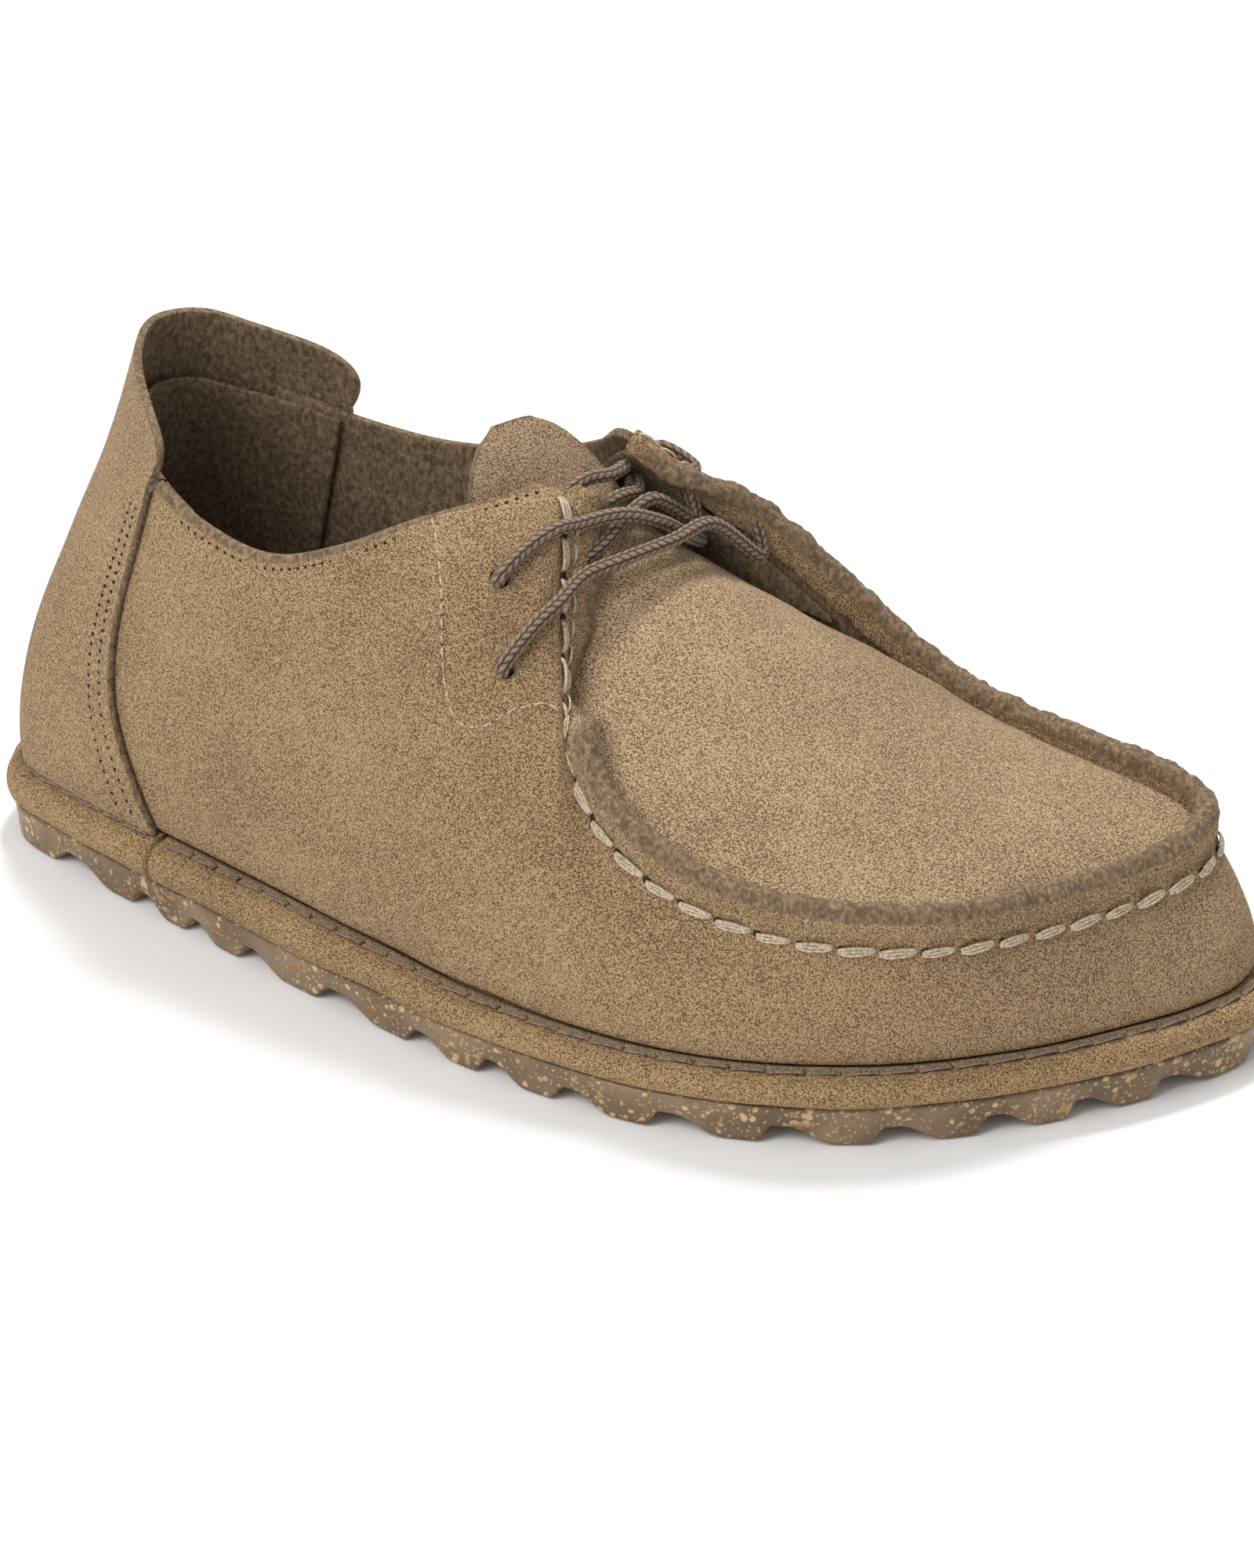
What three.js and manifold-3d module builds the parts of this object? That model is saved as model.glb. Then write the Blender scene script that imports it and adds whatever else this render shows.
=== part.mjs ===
// A low lace-up moccasin for the right foot, built piece by piece on its own footbed.
// Millimetres, +X towards the toe, -Y the outer side of the foot, +Z up.
// The origin is on the floor, under the middle of the sole.
import * as THREE from 'three';
import { mergeVertices } from 'three/addons/utils/BufferGeometryUtils.js';
import Module from 'manifold-3d';

// ---- Driving dimensions ------------------------------------------------------------------
const LENGTH = 270;            // sole, heel to toe
const WIDTH = 110;             // sole, across the ball
const UPPER_HEIGHT = 107;      // floor to the top of the lace facings
const SOLE_BAND = 4.4;         // solid rubber above the lugs
const LUG_DEPTH = 3.6;
const RAND_HEEL = 8.7;         // height of the padded rand at the heel
const RAND_TOE = 6.4;
const RAND_PROUD = 1.5;        // how far the rand swells past the sole's edge
const SEAM_INSET = 4;          // sole edge to the seam at the foot of the upper
const LEATHER = 2;             // suede of the wall and the apron
const COUNTER_LEATHER = 1.7;
const LINING = 1.2;
const TAB_RISE = 13;           // heel tab above the quarters' top edge
const FOOTBED_HEEL = 12;       // footbed top above the outsole, in the heel cup
const FOOTBED_TOE = 9;
const LINER = 1.4;
const TONGUE_HALF_WIDTH = 23;
const EYELET_BORE = 4.8;
const LACE = 2.7;
const LACE_TIP_LENGTH = 16;
const LACE_TIP = 3.3;
const GAP = 0.3;               // clearance between pieces that touch

// ---- Sizes that follow -------------------------------------------------------------------
const SOLE_TOP = SOLE_BAND + LUG_DEPTH;
const PATTERN_LENGTH = 270;    // the size that the pattern below is drawn at
const PATTERN_WIDTH = 110;
const PATTERN_HEIGHT = 107;
const CENTRE_X = 131, CENTRE_Y = 2;   // middle of the pattern
const COUNTER_BACK = GAP;      // counter's inner face, outside the wall's outer face
const LINING_FACE = -LEATHER - GAP;
const FACING_FACE = -LEATHER - 2.5 * GAP;   // facings curve tightly, so their lining lies looser

// ---- The pattern: foot of the wall (x, y) and its top edge (x, y, z), heel round to heel ---
const PATTERN = [
  [-4, 1, 27, 1, 102.5], [-2, -13, 30.5, -10, 101.5], [5, -23.5, 38, -19, 98],
  [24, -30, 48, -26, 94.5], [50, -36, 62, -31, 90], [76, -41.5, 80, -33, 88],
  [98, -46, 97, -32.5, 94], [116, -49, 111, -27, 101], [129, -51.3, 122, -18, 104.5],
  [139, -52.3, 132, -6.5, 105.5], [147, -52.8, 137, -13, 95], [154, -53, 141.5, -21, 83.5],
  [162, -53, 147.5, -31, 70.5], [171, -52.5, 157, -38, 59], [181, -51, 169, -41, 51.5],
  [193, -47.5, 184, -41.5, 47], [206, -42, 200, -38.5, 44.5], [219, -34, 213, -31, 42.5],
  [232, -22.5, 225, -20, 41], [243, -10, 234, -6, 40], [253, 4, 242, 9, 39.7],
  [261, 18, 248, 23, 40], [265.5, 32, 251, 35, 41], [263.5, 44, 248.5, 44.5, 42.5],
  [253, 52, 240, 48.5, 44], [237, 56, 227, 49.5, 45.5], [221, 57.5, 213, 50, 47],
  [206, 57.3, 200, 50, 49], [193, 56, 188, 49.5, 52.5], [181, 53.5, 176, 47, 60],
  [170, 50.5, 165, 41.5, 71], [160, 48, 154, 33, 84.5], [150, 46, 143.5, 22.5, 98],
  [140, 44, 132.5, 15, 109], [127, 41.5, 121, 24, 101], [111, 38.5, 109, 30.5, 94.5],
  [94, 36.5, 95, 33, 90], [74, 35.2, 79, 32, 88], [50, 35.5, 61, 28.5, 90],
  [24, 31, 48, 24.5, 94], [5, 24.5, 37.5, 18, 98], [-2, 14, 30.5, 10.5, 101.5],
];
const ROWS = PATTERN.length;
const APRON_OUTER = 13, TOE_TIP = 21.5, APRON_INNER = 29;   // rows of the pattern
const COUNTER_OUTER = [3.95, 3.1], COUNTER_INNER = [4.3, 3.75];   // rows where the counter ends
const WALL_END = 2.6;                                       // the wall's hidden ends
const LINING_END = 3.7;

// ---- Curves and surfaces -----------------------------------------------------------------
const V = (x, y, z) => new THREE.Vector3(x, y, z);
const mix = (a, b, f) => a + (b - a) * f;
const smooth = (a, b, x) => THREE.MathUtils.smoothstep(x, a, b);

function place(x, y, z) {
  return V((x - CENTRE_X) * LENGTH / PATTERN_LENGTH,
    (y - CENTRE_Y) * WIDTH / PATTERN_WIDTH, z);
}

const loop = (points) => new THREE.CatmullRomCurve3(points, true, 'centripetal');
const footLine = loop(PATTERN.map(([x, y]) => place(x, y, 0)));
const topLine = loop(PATTERN.map(([, , x, y, z]) => (
  place(x, y, z * UPPER_HEIGHT / PATTERN_HEIGHT))));
const at = (line, row) => line.getPoint((((row / ROWS) % 1) + 1) % 1);

// Outward direction of the sole's edge, level with the floor
function outward(row) {
  const step = 0.15;
  const along = at(footLine, row + step).sub(at(footLine, row - step));
  return V(along.y, -along.x, 0).normalize();
}

const randHeight = (row) => {
  const x = at(footLine, row).x / LENGTH + 0.5;
  return mix(RAND_HEEL, RAND_TOE, smooth(0.3, 0.6, x));
};
const seamHeight = (row) => SOLE_TOP + GAP + randHeight(row);
const edgePoint = (row, out, z) => at(footLine, row).addScaledVector(outward(row), out).setZ(z);

// A point on the outside of the wall: height 0 at the rand seam, 1 at the top edge, over 1 beyond it
function wallPoint(row, height) {
  const foot = edgePoint(row, -SEAM_INSET, seamHeight(row) + GAP);
  const top = at(topLine, row);
  const span = V(top.x - foot.x, top.y - foot.y, 0);
  const rise = top.z - foot.z;
  const instep = smooth(2, 26, Math.abs(span.y)) * smooth(8, 40, rise);
  const low = foot.clone().addScaledVector(outward(row), 2 + 1.5 * instep);
  low.z += mix(0.35, 0.5, instep) * rise;
  const high = top.clone().addScaledVector(span, -mix(0.35, 0.5, instep));
  high.z -= mix(0.35, 0.1, instep) * rise;
  if (height > 1) {
    const on = top.clone().sub(high).normalize();
    return top.addScaledVector(on, (height - 1) * rise);
  }
  return new THREE.CubicBezierCurve3(foot, low, high, top).getPoint(height);
}

// Moves a point of a surface along its own normal; the surface is a function of two numbers
function lifted(surface, a, b, by) {
  const step = 0.01;
  const da = surface(a + step, b).sub(surface(a - step, b));
  const db = surface(a, Math.min(b + step, 1)).sub(surface(a, Math.min(b, 1) - step));
  return surface(a, b).addScaledVector(da.cross(db).normalize(), by);
}
const onWall = (row, height, by) => lifted(wallPoint, row, height, by);

// ---- Mesh builders -----------------------------------------------------------------------
function fromTriangles(points, faces) {
  const shape = new THREE.BufferGeometry();
  shape.setAttribute('position',
    new THREE.Float32BufferAttribute(points.flatMap((p) => [p.x, p.y, p.z]), 3));
  shape.setIndex(faces);
  return shape;
}

// A closed skin over rings of points, all with the same count; open ends get a fan to their middle
function loft(rings, joined) {
  const count = rings[0].length;
  const points = rings.flat();
  const faces = [];
  rings.forEach((ring, i) => {
    if (!joined && i === rings.length - 1) return;
    const a = i * count;
    const b = ((i + 1) % rings.length) * count;
    ring.forEach((p, j) => {
      const k = (j + 1) % count;
      faces.push(a + j, b + j, b + k, a + j, b + k, a + k);
    });
  });
  if (!joined) {
    [[0, rings[0]], [points.length - count, rings[rings.length - 1]]].forEach(([start, ring], last) => {
      points.push(ring.reduce((sum, p) => sum.add(p), V(0, 0, 0)).divideScalar(count));
      ring.forEach((p, j) => {
        const pair = [start + j, start + (j + 1) % count];
        if (last) pair.reverse();
        faces.push(points.length - 1, ...pair);
      });
    });
  }
  return outwards(fromTriangles(points, faces));
}

// Turns a closed skin right side out
function outwards(shape) {
  const p = shape.getAttribute('position');
  const index = shape.getIndex().array;
  const corner = [V(0, 0, 0), V(0, 0, 0), V(0, 0, 0)];
  let volume = 0;
  for (let i = 0; i < index.length; i += 3) {
    corner.forEach((c, j) => c.fromBufferAttribute(p, index[i + j]));
    volume += corner[0].dot(corner[1].clone().cross(corner[2]));
  }
  if (volume < 0) {
    for (let i = 0; i < index.length; i += 3) {
      [index[i], index[i + 1]] = [index[i + 1], index[i]];
    }
  }
  return shape;
}

// A sheet of even thickness between two offsets of a surface; rows run along a, columns along b
function sheet(surface, rows, columns, outer, inner, joined = false) {
  const rings = rows.map((a) => {
    const line = columns(a);
    const front = line.map((b) => lifted(surface, a, b, outer));
    const back = line.map((b) => lifted(surface, a, b, inner));
    return [...front, ...back.reverse()];
  });
  return joined ? loft(rings, true) : stripLoft(rings);
}

// Like loft, with its two end caps made as a strip across the sheet's thickness
function stripLoft(rings) {
  const count = rings[0].length;
  const faces = [];
  for (let i = 0; i < rings.length - 1; i += 1) {
    for (let j = 0; j < count; j += 1) {
      const k = (j + 1) % count;
      const a = i * count;
      const b = a + count;
      faces.push(a + j, b + j, b + k, a + j, b + k, a + k);
    }
  }
  const end = (rings.length - 1) * count;
  for (let j = 0; j < count / 2 - 1; j += 1) {
    const k = count - 1 - j;
    faces.push(j, j + 1, k - 1, j, k - 1, k);
    faces.push(end + j, end + k - 1, end + j + 1, end + j, end + k, end + k - 1);
  }
  return outwards(fromTriangles(rings.flat(), faces));
}

const steps = (from, to, count) => (
  Array.from({ length: count + 1 }, (_, i) => mix(from, to, i / count)));

// ---- Booleans ----------------------------------------------------------------------------
const wasm = await Module();
wasm.setup();

function solid(shape) {
  const bare = shape.index ? shape.toNonIndexed() : shape.clone();
  bare.deleteAttribute('normal');
  bare.deleteAttribute('uv');
  const merged = mergeVertices(bare, 1e-4);
  return new wasm.Manifold(new wasm.Mesh({
    numProp: 3,
    vertProperties: merged.getAttribute('position').array,
    triVerts: new Uint32Array(merged.getIndex().array),
  }));
}

function geometry(body) {
  const mesh = body.getMesh();
  const shape = new THREE.BufferGeometry();
  shape.setAttribute('position', new THREE.BufferAttribute(new Float32Array(mesh.vertProperties), 3));
  shape.setIndex(Array.from(mesh.triVerts));
  return shape;
}

// Joins the loose corners of a library shape into one closed skin
const closed = (shape) => geometry(solid(shape));

// A round rod between two points
function rod(from, to, radius, sides = 12) {
  const shape = new THREE.CylinderGeometry(radius, radius, from.distanceTo(to), sides);
  const turn = new THREE.Quaternion().setFromUnitVectors(V(0, 1, 0), to.clone().sub(from).normalize());
  shape.applyQuaternion(turn);
  const middle = from.clone().add(to).multiplyScalar(0.5);
  return shape.translate(middle.x, middle.y, middle.z);
}

function extrudeUp(outline, low, high) {
  const shape = new THREE.Shape(outline.map((p) => new THREE.Vector2(p.x, p.y)));
  return new THREE.ExtrudeGeometry(shape, { depth: high - low, bevelEnabled: false })
    .translate(0, 0, low);
}

// ---- The assembly ------------------------------------------------------------------------
const moccasin = new THREE.Group();
function add(name, shape, colour, roughness) {
  shape.computeVertexNormals();
  const mesh = new THREE.Mesh(shape, new THREE.MeshStandardMaterial({
    color: colour, roughness, metalness: 0,
  }));
  mesh.name = name;
  moccasin.add(mesh);
}
const SUEDE = 0x9a7d57, APRON_SUEDE = 0xa78a62, DARK_SUEDE = 0x4e3b2c;
const RUBBER = 0x6b4a2b, CORK = 0xb08a5c, COTTON = 0x7d6247, PLASTIC = 0x4a3a2b;

// ---- Outsole: a rubber band with wavy lugs all round and rows of lugs between --------------
const LUG_PITCH = 20.5;
const LUG_ROW_INSET = 7.2;
function lugShape(centre, along, length, width) {
  const across = V(-along.y, along.x, 0);
  const corners = [[-0.5, -0.36], [-0.36, -0.5], [0.36, -0.5], [0.5, -0.36],
    [0.5, 0.36], [0.36, 0.5], [-0.36, 0.5], [-0.5, 0.36]];
  const outline = corners.map(([a, b]) => (
    centre.clone().addScaledVector(along, a * length).addScaledVector(across, b * width)));
  return extrudeUp(outline, 0, LUG_DEPTH + 1);
}
function edgeLugs() {
  const round = 400;
  const line = steps(0, ROWS, round).map((row) => [row, edgePoint(row, -LUG_ROW_INSET, 0)]);
  const lengths = line.map(([, p], i) => (i ? p.distanceTo(line[i - 1][1]) : 0));
  const total = lengths.reduce((a, b) => a + b, 0);
  const count = Math.round(total / LUG_PITCH);
  const lugs = [];
  let walked = 0;
  line.forEach(([row, p], i) => {
    walked += lengths[i];
    if (lugs.length < count && walked >= lugs.length * total / count) {
      const odd = lugs.length % 2;
      lugs.push(lugShape(p, outward(row), 12.4 - 1.6 * odd, 12 - 1.4 * odd));
    }
  });
  return lugs;
}
const WAIST_PAD = [56, 24];     // flat block under the waist: length, width
function middleLugs() {
  const lugs = [];
  const pitch = V(17, 19, 0);
  for (let i = -8; i <= 8; i += 1) {
    for (let j = -3; j <= 3; j += 1) {
      const centre = V(i * pitch.x, (j + (i % 2 ? 0.5 : 0)) * pitch.y, 0);
      const onPad = Math.abs(centre.x) < WAIST_PAD[0] / 2 + 9 && Math.abs(centre.y) < WAIST_PAD[1] / 2 + 9;
      if (insideBy(centre) > 24 && !onPad) lugs.push(lugShape(centre, V(0, 1, 0), 13, 11));
    }
  }
  lugs.push(lugShape(V(0, 0, 0), V(1, 0, 0), ...WAIST_PAD));
  return lugs;
}
// How far a point lies inside the sole's edge, negative when it is outside
function insideBy(point) {
  let best = -Infinity;
  let nearest = Infinity;
  steps(0, ROWS, 160).forEach((row) => {
    const edge = edgePoint(row, 0, 0);
    const distance = edge.distanceTo(point);
    if (distance < nearest) {
      nearest = distance;
      best = edge.sub(point).dot(outward(row)) > 0 ? distance : -distance;
    }
  });
  return best;
}
function outsole() {
  const around = steps(0, ROWS, 88).slice(0, -1);
  const band = extrudeUp(around.map((row) => edgePoint(row, -0.5, 0)), LUG_DEPTH, SOLE_TOP);
  let body = solid(band);
  [...edgeLugs(), ...middleLugs()].forEach((lug) => { body = body.add(solid(lug)); });
  return geometry(body);
}
add('outsole', outsole(), RUBBER, 0.6);

// ---- Footbed: a contoured cork block with a suede cover ------------------------------------
const CORE_FOOT_INSET = 5.2, CORE_RIM_INSET = 9;
const spine = (row) => {
  const p = at(footLine, row);
  const back = -LENGTH / 2 + 30;
  const front = LENGTH / 2 - 38;
  return V(THREE.MathUtils.clamp(p.x, back, front), 2 * smooth(0, front, p.x), 0);
};
function bedTop(x, reach) {
  const heel = 1 - smooth(-LENGTH * 0.1, LENGTH * 0.1, x);
  const level = SOLE_TOP + mix(FOOTBED_TOE, FOOTBED_HEEL, heel);
  return level + (1.5 + 3.5 * heel) * reach ** 4;
}
function bedRing(around, inset, reach, lift) {
  return around.map((row) => {
    const edge = edgePoint(row, -inset, 0);
    const p = spine(row).lerp(edge, reach).setZ(0);
    return p.setZ(bedTop(p.x, reach) + lift);
  });
}
function footbedCore() {
  const around = steps(0, ROWS, 60).slice(0, -1);
  const foot = SOLE_TOP + GAP;
  const rings = [
    around.map((row) => spine(row).lerp(edgePoint(row, -CORE_FOOT_INSET, 0), 0.5).setZ(foot)),
    around.map((row) => edgePoint(row, -CORE_FOOT_INSET, foot)),
    around.map((row) => edgePoint(row, -CORE_FOOT_INSET, foot + RAND_TOE - 1)),
    around.map((row) => edgePoint(row, -CORE_RIM_INSET, foot + RAND_TOE - GAP)),
    bedRing(around, CORE_RIM_INSET, 1, 0),
    bedRing(around, CORE_RIM_INSET, 0.75, 0),
    bedRing(around, CORE_RIM_INSET, 0.4, 0),
  ];
  return loft(rings, false);
}
function footbedLiner() {
  const around = steps(0, ROWS, 60).slice(0, -1);
  const under = [0.4, 0.75, 1].map((reach) => bedRing(around, CORE_RIM_INSET, reach, 1.5 * GAP));
  const over = [1, 0.75, 0.4].map((reach) => bedRing(around, CORE_RIM_INSET, reach, 1.5 * GAP + LINER));
  return loft([...under, ...over], false);
}
add('footbed_core', footbedCore(), CORK, 0.9);
add('footbed_liner', footbedLiner(), SUEDE, 0.95);

// ---- Rand: suede rolled round the footbed's edge, in a front and a heel length -------------
const RAND_JOINT = 4.02;
function randRing(row) {
  const foot = SOLE_TOP + GAP;
  const tall = randHeight(row);
  const back = -CORE_FOOT_INSET + GAP;
  return [[back, 0], [-0.4, 0], [RAND_PROUD - 0.4, 0.16], [RAND_PROUD, 0.42],
    [RAND_PROUD - 0.6, 0.7], [-1.2, 0.92], [-SEAM_INSET + 0.2, 1], [back, 1]]
    .map(([out, share]) => edgePoint(row, out, foot + share * tall));
}
add('rand_front', loft(steps(RAND_JOINT, ROWS - RAND_JOINT, 62).map(randRing), false), SUEDE, 0.95);
add('rand_heel', loft(steps(-RAND_JOINT + 0.04, RAND_JOINT - 0.04, 18).map(randRing), false), SUEDE, 0.95);

// ---- Punched eyelets, as places on the wall: row of the pattern, and height up the wall -----
const EYELETS = {
  outer_upper: [8.5, 0.73], outer_lower: [8.95, 0.55],
  inner_upper: [33.55, 0.76], inner_lower: [32.9, 0.56],
};
const punches = Object.values(EYELETS).map(([row, height]) => (
  solid(rod(onWall(row, height, 8), onWall(row, height, -12), EYELET_BORE / 2))));
function punched(shape) {
  let body = solid(shape);
  punches.forEach((punch) => { body = body.subtract(punch); });
  return geometry(body);
}

// ---- Upper: one wall round the toe, its ends hidden under the heel counter -----------------
const sideWall = sheet(wallPoint, steps(WALL_END, ROWS - WALL_END, 78),
  () => steps(0, 1, 8), 0, -LEATHER);
add('side_wall', punched(sideWall), SUEDE, 0.95);

const FACING_BACK = 8;         // row where a facing lining starts
const FACING_TOP = 0.92;
const facingFoot = (row) => mix(0.44, 0.93, smooth(8.4, 12.6, row));
const outerFacing = sheet(wallPoint, steps(FACING_BACK, 12, 12),
  (row) => steps(facingFoot(row), FACING_TOP, 6), FACING_FACE, FACING_FACE - LINING);
const innerFacing = sheet(wallPoint, steps(ROWS - 12, ROWS - FACING_BACK, 12),
  (row) => steps(facingFoot(ROWS - row), FACING_TOP, 6), FACING_FACE, FACING_FACE - LINING);
add('outer_facing_lining', punched(outerFacing), DARK_SUEDE, 0.95);
add('inner_facing_lining', punched(innerFacing), DARK_SUEDE, 0.95);

// ---- Heel: counter with its raised tab, a stiffener under it and a lining inside -----------
function counterPoint(share, height) {
  const up = Math.min(height, 1);
  const [foot, top] = share > 0 ? COUNTER_OUTER : COUNTER_INNER;
  const hollow = 0.28 * Math.sin(Math.PI * up);
  const front = mix(foot, top, up) - hollow + 2.4 * (height - up);
  return wallPoint(share * front, height);
}
const backRise = at(topLine, 0).z - seamHeight(0);
const tabHeight = (share) => (
  1 + TAB_RISE / backRise * Math.sqrt(1 - Math.min(1, Math.abs(share)) ** 12));
add('heel_counter', sheet(counterPoint, steps(-1, 1, 26),
  (share) => steps(0, tabHeight(share), 10), COUNTER_BACK + COUNTER_LEATHER, COUNTER_BACK), SUEDE, 0.95);
add('heel_stiffener', sheet(wallPoint, steps(-WALL_END + 0.1, WALL_END - 0.1, 18),
  () => steps(0.03, 0.8, 6), -0.1, -LEATHER + 0.2), CORK, 0.8);
add('heel_lining', sheet(wallPoint, steps(-LINING_END, LINING_END, 20),
  () => steps(0.01, 0.985, 7), LINING_FACE, LINING_FACE - LINING), DARK_SUEDE, 0.95);

// ---- Apron: the crowned top panel, sewn inside the wall's top edge -------------------------
const APRON_CROWN = 21;
const APRON_EDGE = LEATHER + 2 * GAP;
const apronEdge = (row) => at(topLine, row).addScaledVector(outward(row), -APRON_EDGE);
function apronPoint(back, across) {
  const inner = apronEdge(mix(TOE_TIP, APRON_INNER, back));
  const outer = apronEdge(mix(TOE_TIP, APRON_OUTER, back));
  const p = inner.lerp(outer, across);
  p.z += APRON_CROWN * back ** 2 * Math.max(0, 4 * across * (1 - across)) ** 0.9;
  return p;
}
add('apron', sheet(apronPoint, steps(0.05, 1, 13), () => steps(0, 1, 12), 0, -LEATHER),
  APRON_SUEDE, 0.95);

// ---- Tongue: the apron's suede carried on up under the facings -----------------------------
// Thicker leather or a narrower shoe leaves the tongue less room, so it goes lower and narrower,
// and the laces keep further from the walls
const CROWDING = 14 * Math.max(0, 1 - WIDTH / PATTERN_WIDTH);
const TONGUE_TUCK = (LEATHER + LINING - 3.2) * 1.8 + 0.9 * CROWDING;
const TONGUE_SPINE = [[165, 4, 79], [155, 4, 84.5], [143.5, 2.5, 91], [131, -1.5, 99.5], [119.5, -5, 116]];
const tongueSpine = new THREE.CatmullRomCurve3(TONGUE_SPINE.map(([x, y, z]) => (
  place(x, y, z * UPPER_HEIGHT / PATTERN_HEIGHT - TONGUE_TUCK))));
const TONGUE_SPREAD = [1.5, 1.26, 0.99, 0.83, 0.8];        // half widths, in tongue half widths
const TONGUE_DROP = [0.0122, 0.0178, 0.024, 0.027, 0.024];   // fall of its sides, per mm of width squared
function along(list, share) {
  const place0 = THREE.MathUtils.clamp(share, 0, 1) * (list.length - 1);
  const i = Math.min(Math.floor(place0), list.length - 2);
  return mix(list[i], list[i + 1], place0 - i);
}
function tonguePoint(up, across) {
  const tip = Math.sqrt(Math.max(0, 1 - Math.max(0, (up - 0.72) / 0.28) ** 2.4));
  const wide = WIDTH / PATTERN_WIDTH;
  const half = (along(TONGUE_SPREAD, up) * TONGUE_HALF_WIDTH - TONGUE_TUCK) * tip;
  const aside = (1 - 2 * across) * half;
  const slant = mix(0.237, 0.34, up) * LENGTH / PATTERN_LENGTH;
  const fall = along(TONGUE_DROP, up) * UPPER_HEIGHT / PATTERN_HEIGHT * aside ** 2;
  const p = tongueSpine.getPoint(THREE.MathUtils.clamp(up, 0, 1));
  p.add(V(aside * slant, aside * wide, -fall));
  return p;
}
add('tongue', sheet(tonguePoint, steps(0.01, 0.98, 13), () => steps(0, 1, 10), 0, -LEATHER),
  APRON_SUEDE, 0.95);

// ---- Lace: one round cord, over and under the facings, both ends tucked down inside ---------
const LACE_CLEAR = 0.22 * LEATHER - 0.02 + 0.07 * CROWDING;
const OVER = LACE / 2 + LACE_CLEAR, UNDER = FACING_FACE - LINING - LACE / 2 - LACE_CLEAR;
const UPPER_OUT = EYELETS.outer_upper, LOWER_OUT = EYELETS.outer_lower;
const UPPER_IN = EYELETS.inner_upper, LOWER_IN = EYELETS.inner_lower;
// Straight through an eyelet, from one side of the facing to the other
const through = ([row, height], from, to) => [0, 1].map((i) => onWall(row, height, i ? to : from));
const crowded = (y) => y - Math.sign(y - CENTRE_Y) * Math.min(1.2 * CROWDING, Math.abs(y - CENTRE_Y));
const free = (x, y, z) => (
  place(x, crowded(y), z * UPPER_HEIGHT / PATTERN_HEIGHT + 1.1 * CROWDING));
// Up past the inner facing's top edge and over it
const overEdge = (row) => [onWall(row, 0.955, UNDER - 0.3), onWall(row, 1.06, -LEATHER * 0.7)];
const laceRoute = [
  // one end tucked down the inner side, then across to the outer facing
  onWall(35.1, 0.46, UNDER - 3), onWall(34.6, 0.66, UNDER - 2),
  onWall(34.1, 0.85, UNDER - 0.5), free(132.8, 14, 101.5), free(134, 7, 102.8), free(132, 0, 103.5),
  onWall(9.4, 0.98, UNDER), onWall(9, 0.9, UNDER), onWall(8.75, 0.82, UNDER),
  ...through(UPPER_OUT, UNDER, OVER),
  // over the outer facing, under the inner one
  onWall(8.8, 0.79, OVER), onWall(9.2, 0.87, OVER), onWall(9.6, 0.98, OVER), free(141.8, -1.5, 99.5),
  free(145.9, 7, 95.5), free(147.7, 13.5, 90.5), onWall(32.2, 0.72, UNDER), onWall(32.6, 0.63, UNDER),
  ...through(LOWER_IN, UNDER, OVER),
  // over both facings
  onWall(32.5, 0.64, OVER), onWall(31.9, 0.8, OVER), onWall(31.45, 0.96, OVER + 0.9),
  ...overEdge(31.15).reverse(),
  free(151.5, 15.8, 93.2), free(149.6, 4, 93.6), free(145.4, -7, 93),
  free(141.5, -14.2, 91.6), onWall(10.05, 0.83, OVER), onWall(9.5, 0.68, OVER),
  ...through(LOWER_OUT, OVER, UNDER),
  // under the outer facing, over the inner one
  onWall(9.65, 0.64, UNDER - 0.4), onWall(10.15, 0.79, UNDER - 1), onWall(10.45, 0.91, UNDER - 1.4),
  free(138.3, -12, 91.7), free(140.6, -5, 95),
  free(140, 2, 96.5), free(141.5, 10, 98.2),
  ...overEdge(31.9), onWall(32.2, 0.94, OVER + 0.5), onWall(32.9, 0.84, OVER),
  ...through(UPPER_IN, OVER, UNDER),
  // across to the outer side, the other end tucked down there
  onWall(33.2, 0.82, UNDER), free(137, 12, 98), free(137, 4, 99.6),
  onWall(9.9, 0.975, UNDER), onWall(9.4, 0.82, UNDER), onWall(8.9, 0.73, UNDER),
  onWall(8.75, 0.64, UNDER - 0.4),
  onWall(8.35, 0.52, UNDER - 1.8), onWall(7.8, 0.36, UNDER - 3),
];
// Steps run evenly from point to point, so that they are short at the eyelets
class Route extends THREE.CatmullRomCurve3 {
  getUtoTmapping(share) { return share; }
}
const ringShape = (radius, sides) => new THREE.Shape(
  new THREE.EllipseCurve(0, 0, radius, radius).getPoints(sides).slice(0, -1));
const lacePath = new Route(laceRoute);
const laceBody = new THREE.ExtrudeGeometry(ringShape(LACE / 2, 8), {
  steps: Math.round((laceRoute.length - 1) * 1.4), extrudePath: lacePath, bevelEnabled: false,
});
add('lace', closed(laceBody), COTTON, 0.9);
[['lace_tip_inner', 0], ['lace_tip_outer', 1]].forEach(([name, end]) => {
  const from = lacePath.getPoint(end);
  const away = lacePath.getTangent(end).multiplyScalar(end ? 1 : -1);
  const near = from.clone().addScaledVector(away, GAP);
  const far = near.clone().addScaledVector(away, LACE_TIP_LENGTH);
  add(name, rod(near, far, LACE_TIP / 2), PLASTIC, 0.4);
});

export default moccasin;
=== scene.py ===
# A low lace-up moccasin for the right foot, in napped suede on a lugged rubber sole.
# Metres, +X towards the toe, -Y the outer side of the foot, +Z up, origin under the sole.
import math
import bpy
import numpy as np
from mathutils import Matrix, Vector, noise


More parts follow.
